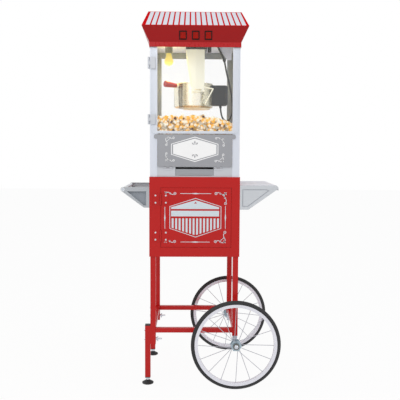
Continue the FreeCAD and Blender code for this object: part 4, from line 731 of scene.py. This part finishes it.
class CART_OT_plastic_and_rubber(Operator):
    """Finish the switches, lamp holder, grip, caps, feet and tyres"""
    bl_idname = "cart.plastic_and_rubber"
    bl_label = "Plastic and rubber"

    def execute(self, context):
        # Moulded nylon: matt black with a spark-eroded grain, drawn 2 mm wide for 0.5 mm.
        dress(nodes_with("black_plastic"),
              surface("moulded_black_nylon", linear("1B1B1E"), 0.0, 0.5, patch=(25, 25, 25),
                      patch_tone=0.1, grain=(2, 2, 2), grain_depth=0.05, edge=0.6))
        # Moulded ABS: glossy black frames round the switches.
        dress(nodes_with("gloss_black"),
              surface("moulded_black_abs", linear("0F0C0D"), 0.0, 0.3, patch=(25, 25, 25),
                      patch_tone=0.08, grain=(6, 6, 6), grain_depth=0.02, edge=0.5,
                      Specular_IOR_Level=0.2))
        # Moulded polycarbonate: clear red rockers, which let a little light in.
        dress(nodes_with("red_switch"),
              surface("moulded_red_polycarbonate", linear("A41A10"), 0.0, 0.3,
                      patch=(10, 10, 10), patch_tone=0.1, grain=(4, 4, 4), grain_depth=0.01,
                      edge=0.5, Specular_IOR_Level=0.1))
        # Glazed lamp holder: mid grey, its ribs dulled by heat.
        dress(["lamp_holder"],
              surface("grey_glazed_porcelain", linear("7C7D76"), 0.0, 0.4, patch=(6, 6, 60),
                      patch_tone=0.25, grain=(4, 4, 4), grain_depth=0.02, edge=0.5))
        # Moulded phenolic: hard glossy red grip with slight flow lines along it.
        dress(nodes_with("red_plastic"),
              surface("moulded_red_phenolic", linear("C2343A"), 0.0, 0.28, patch=(40, 8, 8),
                      patch_tone=0.1, grain=(20, 3, 3), grain_depth=0.03, edge=0.8,
                      Coat_Weight=0.3))
        # Moulded rubber of the feet: dull black with a floor-dusted bloom, on zinc stems.
        dress(nodes_with("foot_rubber"),
              surface("moulded_foot_rubber", linear("1E1E20"), 0.0, 0.62, patch=(18, 18, 18),
                      patch_tone=0.18, grain=(3, 3, 3), grain_depth=0.03, edge=0.8),
              bpy.data.materials["zinc_plated_steel"])
        pad_top = 0.0171
        for name in nodes_with("foot_rubber"):
            redress(name, 1, lambda centre, normal: centre.z > pad_top)
        for name, hub in (("front_tyre", "front_hub"), ("rear_tyre", "rear_hub")):
            dress([name], self.tyre(name, hub))
        return {"FINISHED"}

    def tyre(self, name, hub):
        """Solid rubber tyre: dull black, with cross grooves about every 9 mm round the tread."""
        groove_pitch, tread_depth, tread_start = 0.009, 0.006, 0.001
        low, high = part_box(hub)
        centre = (low + high) / 2
        tyre_low, tyre_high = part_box(name)
        radius = (tyre_high.x - tyre_low.x) / 2
        material, tree, out = blank_material("moulded_tyre_rubber_" + name.split("_")[0])
        place = node(tree, "ShaderNodeTexCoord")
        own = node(tree, "ShaderNodeVectorMath", {1: tuple(-centre)}, {0: place.outputs["Object"]},
                   operation="ADD")
        axes = node(tree, "ShaderNodeSeparateXYZ", None, {0: own.outputs["Vector"]})
        angle = node(tree, "ShaderNodeMath", None, {0: axes.outputs["Z"], 1: axes.outputs["X"]},
                     operation="ARCTAN2")
        count = round(math.tau * radius / groove_pitch)
        turns = node(tree, "ShaderNodeMath", {1: float(count)}, {0: angle.outputs[0]},
                     operation="MULTIPLY")
        wave = node(tree, "ShaderNodeMath", None, {0: turns.outputs[0]}, operation="SINE")
        flat = node(tree, "ShaderNodeVectorMath", {1: (1, 0, 1)}, {0: own.outputs["Vector"]},
                    operation="MULTIPLY")
        out_from = node(tree, "ShaderNodeVectorMath", None, {0: flat.outputs["Vector"]},
                        operation="LENGTH")
        tread = node(tree, "ShaderNodeMapRange",
                     {"From Min": radius - tread_depth, "From Max": radius - tread_start},
                     {"Value": out_from.outputs["Value"]})
        groove = node(tree, "ShaderNodeMath", None, {0: wave.outputs[0],
                                                     1: tread.outputs["Result"]},
                      operation="MULTIPLY")
        fine = marks(tree, (4, 4, 4))
        height = node(tree, "ShaderNodeMath", None, {0: groove.outputs[0], 1: fine},
                      operation="ADD")
        bump = node(tree, "ShaderNodeBump", {"Strength": 1.0, "Distance": 0.0004},
                    {"Height": height.outputs[0]})
        tone = marks(tree, (35, 35, 35))
        colour = node(tree, "ShaderNodeMix", {"A": shade(linear("151517"), 1.0),
                                              "B": shade(linear("232326"), 1.0)},
                      {"Factor": tone}, data_type="RGBA")
        shader = node(tree, "ShaderNodeBsdfPrincipled", {"Roughness": 0.58},
                      {"Base Color": colour.outputs[2], "Normal": bump.outputs["Normal"]})
        tree.links.new(shader.outputs["BSDF"], out.inputs["Surface"])
        return material


class CART_OT_glass(Operator):
    """Glaze the case and its door in clear toughened glass with greenish edges"""
    bl_idname = "cart.glass"
    bl_label = "Glass"

    def execute(self, context):
        # Float glass, 3 mm: all but invisible face on, with a faint reflection.
        clear = self.pane("clear_toughened_float_glass", "FAFDFC", 0.035, 0.03)
        # Ground edge: the green of the glass seen through its whole width.
        edge = self.pane("ground_edge_of_float_glass", "9DBFB2", 0.75, 0.35)
        dress(["case_glass", "door_glass"], clear, edge)
        rear_pane = case_high.y - 0.006
        redress("case_glass", 1, lambda centre, normal: abs(
            normal.y if centre.y > rear_pane else normal.x) < 0.9)
        redress("door_glass", 1, lambda centre, normal: abs(normal.y) < 0.9)
        return {"FINISHED"}

    def pane(self, name, hex_colour, alpha, roughness):
        """Glass under a film of dust that dulls it slightly in patches."""
        material, tree, out = blank_material(name)
        dust = marks(tree, (220, 220, 160))
        gloss = node(tree, "ShaderNodeMapRange", {"To Min": roughness, "To Max": roughness + 0.04},
                     {"Value": dust})
        shader = node(tree, "ShaderNodeBsdfPrincipled",
                      {"Base Color": linear(hex_colour) + (1.0,), "Alpha": alpha, "IOR": 1.52},
                      {"Roughness": gloss.outputs["Result"]})
        tree.links.new(shader.outputs["BSDF"], out.inputs["Surface"])
        return material


class CART_OT_lamp(Operator):
    """Light the frosted bulb under the ceiling"""
    bl_idname = "cart.lamp"
    bl_label = "Lamp"

    def execute(self, context):
        settings = context.scene.cart_lamp
        low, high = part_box("lamp_bulb")
        # Frosted glass bulb, lit: brightest at its round end, warm yellow towards its neck.
        material, tree, out = blank_material("lit_frosted_bulb_glass")
        height = node(tree, "ShaderNodeMapRange", {"From Min": low.z, "From Max": high.z,
                                                   "To Min": 1.0, "To Max": 0.35},
                      {"Value": object_axes(tree)["Z"]})
        mottle = marks(tree, (8, 8, 8))
        uneven = node(tree, "ShaderNodeMapRange", {"To Min": 0.9, "To Max": 1.1}, {"Value": mottle})
        amount = node(tree, "ShaderNodeMath", None, {0: height.outputs["Result"],
                                                     1: uneven.outputs["Result"]},
                      operation="MULTIPLY")
        strength = node(tree, "ShaderNodeMath", {1: settings.strength}, {0: amount.outputs[0]},
                        operation="MULTIPLY")
        shader = node(tree, "ShaderNodeBsdfPrincipled",
                      {"Base Color": linear("8C7C38") + (1.0,), "Roughness": 0.45,
                       "Emission Color": tuple(settings.glow) + (1.0,)},
                      {"Emission Strength": strength.outputs[0]})
        tree.links.new(shader.outputs["BSDF"], out.inputs["Surface"])
        dress(["lamp_bulb"], material)
        lamp = bpy.data.lights.new("bulb_light", "POINT")
        lamp.energy = settings.power
        lamp.color = settings.glow
        lamp.shadow_soft_size = 0.05
        light = bpy.data.objects.new("bulb_light", lamp)
        light.location = ((low.x + high.x) / 2, (low.y + high.y) / 2, low.z - 0.005)
        context.scene.collection.objects.link(light)
        return {"FINISHED"}


# ---- prints ----
class Print:
    """Flat shapes of ink on an upright front face, laid out in millimetres as (x, z)."""

    def __init__(self, face_y, thickness):
        self.work = bmesh.new()
        self.back = face_y
        self.front = face_y - thickness

    def loop(self, points, y):
        return [self.work.verts.new((case_middle + x / 1000, y, z / 1000)) for x, z in points]

    def patch(self, points):
        """A filled outline."""
        front = self.loop(points, self.front)
        back = self.loop(points, self.back)
        self.work.faces.new(front)
        for k in range(len(points)):
            j = (k + 1) % len(points)
            self.work.faces.new((front[k], front[j], back[j], back[k]))

    def band(self, outer, inner):
        """The strip between two outlines with the same number of points."""
        loops = [self.loop(points, y) for points, y in
                 ((outer, self.front), (inner, self.front), (inner, self.back),
                  (outer, self.back))]
        for a, b in zip(loops, loops[1:] + loops[:1]):
            for k in range(len(outer)):
                j = (k + 1) % len(outer)
                if a is not loops[2]:
                    self.work.faces.new((a[k], a[j], b[j], b[k]))

    def stroke(self, points, widths):
        """A line that swells and thins along its length."""
        left, right = [], []
        for i, (x, z) in enumerate(points):
            x0, z0 = points[max(i - 1, 0)]
            x1, z1 = points[min(i + 1, len(points) - 1)]
            length = math.hypot(x1 - x0, z1 - z0)
            nx, nz = -(z1 - z0) / length, (x1 - x0) / length
            half = widths[i] / 2
            left.append((x + nx * half, z + nz * half))
            right.append((x - nx * half, z - nz * half))
        for i in range(len(points) - 1):
            self.patch([left[i], left[i + 1], right[i + 1], right[i]])

    def ring(self, x, z, radius, width, sides=20):
        """A round band of ink."""
        steps = [math.tau * k / sides for k in range(sides)]
        self.band([(x + radius * math.cos(a), z + radius * math.sin(a)) for a in steps],
                  [(x + (radius - width) * math.cos(a), z + (radius - width) * math.sin(a))
                   for a in steps])

    def flower(self, x, z, size, petals=4):
        """A small rosette with rounded petals."""
        points = []
        steps = petals * 8
        for k in range(steps):
            angle = math.tau * k / steps
            reach = size * (0.62 + 0.38 * abs(math.cos(petals * angle / 2)))
            points.append((x + reach * math.cos(angle), z + reach * math.sin(angle)))
        self.patch(points)

    def curl(self, start, end, bend, width, steps=12):
        """An arched stroke from start to end, thick in its middle."""
        points, widths = [], []
        dx, dz = end[0] - start[0], end[1] - start[1]
        length = math.hypot(dx, dz)
        for k in range(steps + 1):
            t = k / steps
            lift = bend * math.sin(math.pi * t)
            points.append((start[0] + dx * t - dz / length * lift,
                           start[1] + dz * t + dx / length * lift))
            widths.append(width * (0.4 + 0.6 * math.sin(math.pi * t)))
        self.stroke(points, widths)

    def corner(self, ring_a, curl_a, star, curl_b, ring_b, size=1.0):
        """Scrollwork of a corner: a bow with a curl and a ring along each side."""
        for ring, curl, side in ((ring_a, curl_a, 1), (ring_b, curl_b, -1)):
            if ring is None:
                continue
            self.ring(ring[0], ring[1], 5.6 * size, 1.9 * size)
            self.flower(ring[0], ring[1], 1.7 * size)
            self.curl(ring, curl, 4.0 * side * size, 2.6 * size)
            self.ring(curl[0], curl[1], 3.6 * size, 1.6 * size)
            self.curl(curl, star, -4.0 * side * size, 2.8 * size)
        if ring_a and ring_b:
            self.curl(curl_a, curl_b, 2.0 * size, 2.0 * size)
        arm = 5.0 * size
        for turn in (1, -1):
            self.curl((star[0] - arm, star[1] - turn * arm), (star[0] + arm, star[1] + turn * arm),
                      1.2 * size, 3.0 * size)
        self.flower(star[0], star[1], 2.6 * size)

    def finish(self, name, body, material):
        """Turn the shapes into one piece that rides on a body."""
        return new_piece(name, mesh_from(name, self.work), body, material)


def badge(left, right, shoulder_low, shoulder_high, low, high, peak):
    """Outline of a six-sided badge with a point above and below."""
    return [(left, shoulder_high), (peak, high), (right, shoulder_high), (right, shoulder_low),
            (peak, low), (left, shoulder_low)]


def clip(points, axis, limit, keep_above):
    """Cut a convex outline along one coordinate and keep one side."""
    sign = 1 if keep_above else -1
    result = []
    for k, point in enumerate(points):
        following = points[(k + 1) % len(points)]
        here, there = sign * (point[axis] - limit), sign * (following[axis] - limit)
        if here >= 0:
            result.append(point)
        if here * there < 0:
            t = here / (here - there)
            result.append(tuple(point[i] + t * (following[i] - point[i]) for i in (0, 1)))
    return result


def ink(name, colour):
    """Screen-printed enamel ink: a flat even film with a slightly soft gloss."""
    return surface(name, colour, 0.0, 0.34, patch=(45, 45, 45), patch_tone=0.03,
                   grain=(5, 5, 5), grain_depth=0.02, edge=0)


# The small marks are a thicker print than the ground that they lie on, so that they show.
mark_build_up = 1.6


class CART_OT_door_print(Operator):
    """Print the badge, the frame lines and the scrollwork on the cabinet door"""
    bl_idname = "cart.door_print"
    bl_label = "Door print"

    def execute(self, context):
        colours = context.scene.cart_paint
        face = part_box("cabinet_door")[0].y
        sheet = Print(face, colours.print_height)
        outer = badge(-101.8, 108.7, 649, 740, 613, 774, 4.0)
        inner = badge(-99.4, 106.3, 650.5, 738.5, 615.7, 771.3, 4.0)
        sheet.band(outer, inner)
        field = badge(-95.4, 99.8, 653, 736, 622, 765, 3.6)
        sheet.patch(clip(field, 1, 729, True))
        sheet.patch(clip(clip(field, 1, 722, False), 1, 699, True))
        bars, first, pitch, width = 14, -93.0, 14.2, 7.9
        for k in range(bars):
            left = first + pitch * k
            bar = clip(clip(clip(field, 1, 691, False), 0, left, True), 0, left + width, False)
            sheet.patch(bar)
        for z, x0, x1 in ((792, -59, 67), (594, -57, 62)):
            self.line(sheet, (x0, z), (x1, z))
        for x, z0, z1 in ((-120.7, 648, 738), (125.5, 648, 742)):
            self.line(sheet, (x, z0), (x, z1))
        sheet.corner((86.7, 792.5), (104.8, 792), (124.7, 792), (123.5, 775), (125.5, 752))
        sheet.corner((85.4, 596), (105, 596), (122, 594.5), (121, 611), (124, 634))
        sheet.corner((-80, 792), (-98.5, 792), (-117, 794), None, None)
        sheet.corner((-81, 596), (-100.8, 597), (-118.6, 596), None, None)
        sheet.ring(-118.6, 632, 4.0, 1.9)
        sheet.finish("door_print", "storage_door",
                     ink("pale_blue_screen_ink", linear("D6E1E8")))
        mark = Print(face, colours.print_height * mark_build_up)
        mark.patch([(-2.4, 751.5), (9.6, 751.5), (3.6, 758.5)])
        mark.finish("door_print_mark", "storage_door",
                    ink("red_screen_ink", colours.red))
        return {"FINISHED"}

    def line(self, sheet, start, end, steps=24):
        """A thin rule that swells into a lozenge at its middle."""
        thin, swell, lozenge = 2.0, 3.4, 16
        dx, dz = end[0] - start[0], end[1] - start[1]
        length = math.hypot(dx, dz)
        points = [(start[0] + dx * k / steps, start[1] + dz * k / steps) for k in range(steps + 1)]
        widths = [thin + swell * max(0.0, 1 - abs(k / steps - 0.5) * length / lozenge)
                  for k in range(steps + 1)]
        sheet.stroke(points, widths)


class CART_OT_flap_print(Operator):
    """Print the badge and the scrollwork on the serving flap"""
    bl_idname = "cart.flap_print"
    bl_label = "Flap print"

    def execute(self, context):
        colours = context.scene.cart_paint
        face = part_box("serving_flap")[0].y
        sheet = Print(face, colours.print_height)
        sheet.band(badge(-96, 95, 949, 993, 920, 1022, 0),
                   badge(-93, 92, 951, 991, 923.6, 1018.4, 0))
        sheet.patch(badge(-88, 87, 953, 989, 927.6, 1014, 0))
        sheet.corner((-86, 1017), (-100, 1017), (-115, 1016), (-115, 1003), (-115, 989), 0.8)
        sheet.corner((-86, 926), (-100, 926), (-115, 927), (-115, 940), (-115, 954), 0.8)
        sheet.corner((86, 1016), (100, 1015), (114, 1013), (115, 1000), (116, 987), 0.8)
        sheet.corner((84, 924), (98, 924), (113, 925), (114, 937), (115, 950), 0.8)
        sheet.finish("flap_print", "flap", ink("white_screen_ink_on_steel",
                                                             linear("FFFFFF")))
        mark = Print(face, colours.print_height * mark_build_up)
        for z, way in ((997, 1), (944, -1)):
            mark.patch([(-2.4, z + way * 2), (0, z + way * 10), (2.4, z + way * 2),
                        (0, z - way * 8)])
            for side in (-1, 1):
                mark.ring(side * 7.6, z - way * 2.5, 3.2, 1.4)
                mark.curl((side * 1.5, z - way * 5.5), (side * 11.5, z + way * 1.5),
                          -3.5 * way * side, 2.0)
        mark.finish("flap_print_mark", "flap", ink("grey_screen_ink",
                                                                 linear("8C8D93")))
        return {"FINISHED"}


# ---- popped corn ----
class CART_OT_popcorn(Operator):
    """Fill the case with a heap of popped corn"""
    bl_idname = "cart.popcorn"
    bl_label = "Popcorn"

    # Metres: how far above the heap rays start, how far in from the heap's front the finer kernels
    # go, and how high over its foot the front ones start, just under the serving flap's top edge.
    ray_rise = 0.05
    fine_depth = 0.075
    behind_flap = 0.118

    def execute(self, context):
        settings = context.scene.cart_corn
        heap = frame["nodes"]["popcorn"].data
        tree = BVHTree.FromPolygons([v.co for v in heap.vertices],
                                    [tuple(p.vertices) for p in heap.polygons])
        low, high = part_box("popcorn")
        rng = random.Random(settings.seed)
        fine = [self.kernel(rng, 3) for _ in range(14)]
        plain = [self.kernel(rng, 2) for _ in range(10)]
        places = self.places(tree, low, high, settings, rng)
        points, faces, tints = [], [], []
        for place, normal, size in places:
            near = place.y < low.y + self.fine_depth and normal.x ** 2 < 0.5
            model = rng.choice(fine if near else plain)
            spin = Matrix.Rotation(rng.uniform(0, math.tau), 3, "Z")
            tilt = Matrix.Rotation(rng.uniform(0, math.pi), 3, "X")
            turn = spin @ tilt
            first = len(points)
            warmth = rng.random()
            for co, tint in zip(model[0], model[1]):
                points.append(place + turn @ (co * size))
                tints.append(self.warm(tint, warmth, settings))
            faces.extend(tuple(first + i for i in face) for face in model[2])
        mesh = bpy.data.meshes.new("popped_corn")
        mesh.from_pydata(points, [], faces)
        layer = mesh.color_attributes.new("corn_tint", "FLOAT_COLOR", "POINT")
        layer.data.foreach_set("color", [c for tint in tints for c in tint])
        mesh.shade_smooth()
        piece = new_piece("popped_corn", mesh, "cart", self.flesh())
        core = new_piece("popped_corn_core", self.core(tree, low, high), "cart",
                         self.under_layer(settings))
        core.parent = piece
        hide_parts("popcorn")
        return {"FINISHED"}

    def kernel(self, rng, detail):
        """One burst kernel about 1 across: round lobes that part in creases, on a scrap of hull."""
        heart, lobe_reach, lobe_width, full_lobe = 0.26, 0.62, 0.16, 0.34
        ripple_depth, hull_edge = 0.07, 0.62
        work = bmesh.new()
        bmesh.ops.create_icosphere(work, subdivisions=detail, radius=1.0)
        lobes = []
        for _ in range(rng.randint(4, 6)):
            way = Vector((rng.gauss(0, 1), rng.gauss(0, 1), rng.gauss(0, 1))).normalized()
            lobes.append((way, rng.uniform(0.28, 0.5)))
        hull = Vector((rng.gauss(0, 1), rng.gauss(0, 1), rng.gauss(0, 1))).normalized()
        offset = Vector((rng.uniform(0, 50), rng.uniform(0, 50), rng.uniform(0, 50)))
        points, tints = [], []
        for vertex in work.verts:
            way = vertex.co.normalized()
            swell = max(gain * math.exp(-((1 - way.dot(lobe)) / lobe_width) ** 1.3)
                        for lobe, gain in lobes)
            ripple = ripple_depth * noise.noise(way * 3.1 + offset)
            reach = heart + swell * lobe_reach + ripple
            points.append(way * reach)
            height = min(1.0, swell / full_lobe)
            near_hull = max(0.0, way.dot(hull) - hull_edge) / (1 - hull_edge)
            tints.append((height, near_hull, noise.noise(way * 2.0 + offset * 2)))
        faces = [tuple(v.index for v in face.verts) for face in work.faces]
        work.free()
        return points, tints, faces

    def warm(self, tint, warmth, settings):
        """Colour of a point: cream on the lobes, butter in the creases, brown at the hull."""
        height, near_hull, patch = tint
        butter = min(1.0, max(0.0, 1.0 - height * 1.2) + 0.7 * max(0.0, warmth - 0.6)
                     + 0.25 * max(0.0, patch))
        brown = min(1.0, near_hull * (2.4 if warmth > 0.5 else 0.7))
        colour = [a + (b - a) * butter for a, b in zip(settings.cream, settings.butter)]
        return [a + (b - a) * brown for a, b in zip(colour, settings.hull)] + [1.0]

    def places(self, tree, low, high, settings, rng):
        """Where kernels lie: over the top of the heap and against the four panes."""
        step, size = settings.spacing, settings.size
        first, last, margin = size * 0.42, size * 0.4, size * 0.45
        top_stray, side_stray, pane_reach = 0.28, 0.25, 0.03
        found = []
        x = low.x + first
        while x < high.x - last:
            y = low.y + first
            while y < high.y - last:
                spot = Vector((x + rng.uniform(-top_stray, top_stray) * step,
                               y + rng.uniform(-top_stray, top_stray) * step,
                               high.z + self.ray_rise))
                spot.x = min(max(spot.x, low.x + margin), high.x - margin)
                spot.y = min(max(spot.y, low.y + margin), high.y - margin)
                hit, normal, _, _ = tree.ray_cast(spot, Vector((0, 0, -1)))
                if hit is not None:
                    own = size * rng.uniform(0.85, 1.15)
                    found.append((hit - Vector((0, 0, own * rng.uniform(0.05, 0.45))), normal, own))
                y += step
            x += step
        middle = (low + high) / 2
        for way in (Vector((0, -1, 0)), Vector((0, 1, 0)), Vector((-1, 0, 0)), Vector((1, 0, 0))):
            across = Vector((abs(way.y), abs(way.x), 0))
            start = low.dot(across) + margin
            stop = high.dot(across) - margin
            floor = low.z + (margin if way.y >= 0 else self.behind_flap)
            z = floor
            while z < high.z - last:
                u = start
                while u < stop:
                    side = u + rng.uniform(-side_stray, side_stray) * step
                    side = min(max(side, start), stop)
                    level = max(z + rng.uniform(-side_stray, side_stray) * step, floor)
                    spot = across * side + Vector((0, 0, level)) + way * 1.0
                    hit, normal, _, _ = tree.ray_cast(spot, -way)
                    if hit is not None and abs((hit - middle).dot(way)) > \
                            abs((high - middle).dot(way)) - pane_reach:
                        own = size * rng.uniform(0.85, 1.1)
                        found.append((hit - way * own * 0.46, normal, own))
                    u += step
                z += step
        return found

    def core(self, tree, low, high):
        """The rest of the heap, just under the kernels that show."""
        inset, sink, cells = 0.012, 0.011, 26
        crumple, low_top, foot_height = 0.003, 0.004, 0.002
        work = bmesh.new()
        grid = []
        for i in range(cells + 1):
            row = []
            for j in range(cells + 1):
                x = low.x + inset + (high.x - low.x - 2 * inset) * i / cells
                y = low.y + inset + (high.y - low.y - 2 * inset) * j / cells
                hit, _, _, _ = tree.ray_cast(Vector((x, y, high.z + self.ray_rise)),
                                             Vector((0, 0, -1)))
                z = (hit.z if hit is not None else low.z + 0.05) - sink
                z += crumple * noise.noise(Vector((x, y, 0)) * 90)
                row.append(work.verts.new((x, y, max(z, low.z + low_top))))
            grid.append(row)
        for i in range(cells):
            for j in range(cells):
                work.faces.new((grid[i][j], grid[i + 1][j], grid[i + 1][j + 1], grid[i][j + 1]))
        rim = ([grid[i][0] for i in range(cells)] + [grid[cells][j] for j in range(cells)]
               + [grid[i][cells] for i in range(cells, 0, -1)]
               + [grid[0][j] for j in range(cells, 0, -1)])
        foot = [work.verts.new((v.co.x, v.co.y, low.z + foot_height)) for v in rim]
        for k in range(len(rim)):
            j = (k + 1) % len(rim)
            work.faces.new((rim[k], foot[k], foot[j], rim[j]))
        work.faces.new(foot)
        return mesh_from("popped_corn_core", work)

    def flesh(self):
        # Popped corn: matt, foamy flesh that lets a little light in, with a faint glow of its own
        # tint that is painted light.
        material, tree, out = blank_material("popped_corn_flesh")
        tint = node(tree, "ShaderNodeAttribute", attribute_name="corn_tint")
        foam = marks(tree, (1.6, 1.6, 1.6))
        bump = node(tree, "ShaderNodeBump", {"Strength": 1.0, "Distance": 0.0006}, {"Height": foam})
        shader = node(tree, "ShaderNodeBsdfPrincipled",
                      {"Roughness": 0.7, "Subsurface Weight": 0.12,
                       "Subsurface Radius": (0.004, 0.003, 0.0015), "Emission Strength": 0.16},
                      {"Base Color": tint.outputs["Color"], "Normal": bump.outputs["Normal"],
                       "Emission Color": tint.outputs["Color"]})
        tree.links.new(shader.outputs["BSDF"], out.inputs["Surface"])
        return material

    def under_layer(self, settings):
        # Popped corn deep in the heap: butter and cream in 14 mm blots, darkened as painted shade.
        def blots(tree, tone):
            spots = marks(tree, (14, 14, 14))
            sharp = node(tree, "ShaderNodeMapRange", {"From Min": 0.42, "From Max": 0.58},
                         {"Value": spots})
            return node(tree, "ShaderNodeMix", {"A": shade(settings.butter, 0.55),
                                                "B": shade(settings.cream, 0.7)},
                        {"Factor": sharp.outputs["Result"]}, data_type="RGBA").outputs[2]
        return surface("popped_corn_under_layer", settings.butter, 0.0, 0.8, grain=(8, 8, 8),
                       grain_depth=2.0, edge=0, colour_link=blots)


# ---- panel and registration ----
operators = (CART_OT_stage, CART_OT_kettle_cord, CART_OT_red_paint, CART_OT_roof_print,
             CART_OT_sheet_and_profile, CART_OT_bright_metal, CART_OT_plastic_and_rubber,
             CART_OT_glass, CART_OT_lamp, CART_OT_door_print, CART_OT_flap_print, CART_OT_popcorn)
settings_groups = {"cart_stage": CartStageSettings, "cart_paint": CartPaintSettings,
                   "cart_metal": CartMetalSettings, "cart_corn": CartCornSettings,
                   "cart_lamp": CartLampSettings}


class CART_PT_sidebar(Panel):
    """Lists the steps that dress the cart"""
    bl_idname = "CART_PT_sidebar"
    bl_label = "Popcorn cart"
    bl_space_type = "VIEW_3D"
    bl_region_type = "UI"
    bl_category = "Cart"

    def draw(self, context):
        for group in settings_groups:
            box = self.layout.box()
            values = getattr(context.scene, group)
            for name in values.__annotations__:
                box.prop(values, name)
        for operator in operators:
            self.layout.operator(operator.bl_idname)


def register():
    for group, kind in settings_groups.items():
        bpy.utils.register_class(kind)
        setattr(bpy.types.Scene, group, PointerProperty(type=kind))
    for kind in operators + (CART_PT_sidebar,):
        bpy.utils.register_class(kind)


def unregister():
    for kind in reversed(operators + (CART_PT_sidebar,)):
        bpy.utils.unregister_class(kind)
    for group, kind in settings_groups.items():
        delattr(bpy.types.Scene, group)
        bpy.utils.unregister_class(kind)


def main():
    register()
    for operator in operators:
        family, name = operator.bl_idname.split(".")
        getattr(getattr(bpy.ops, family), name)()


if __name__ == "__main__":
    main()
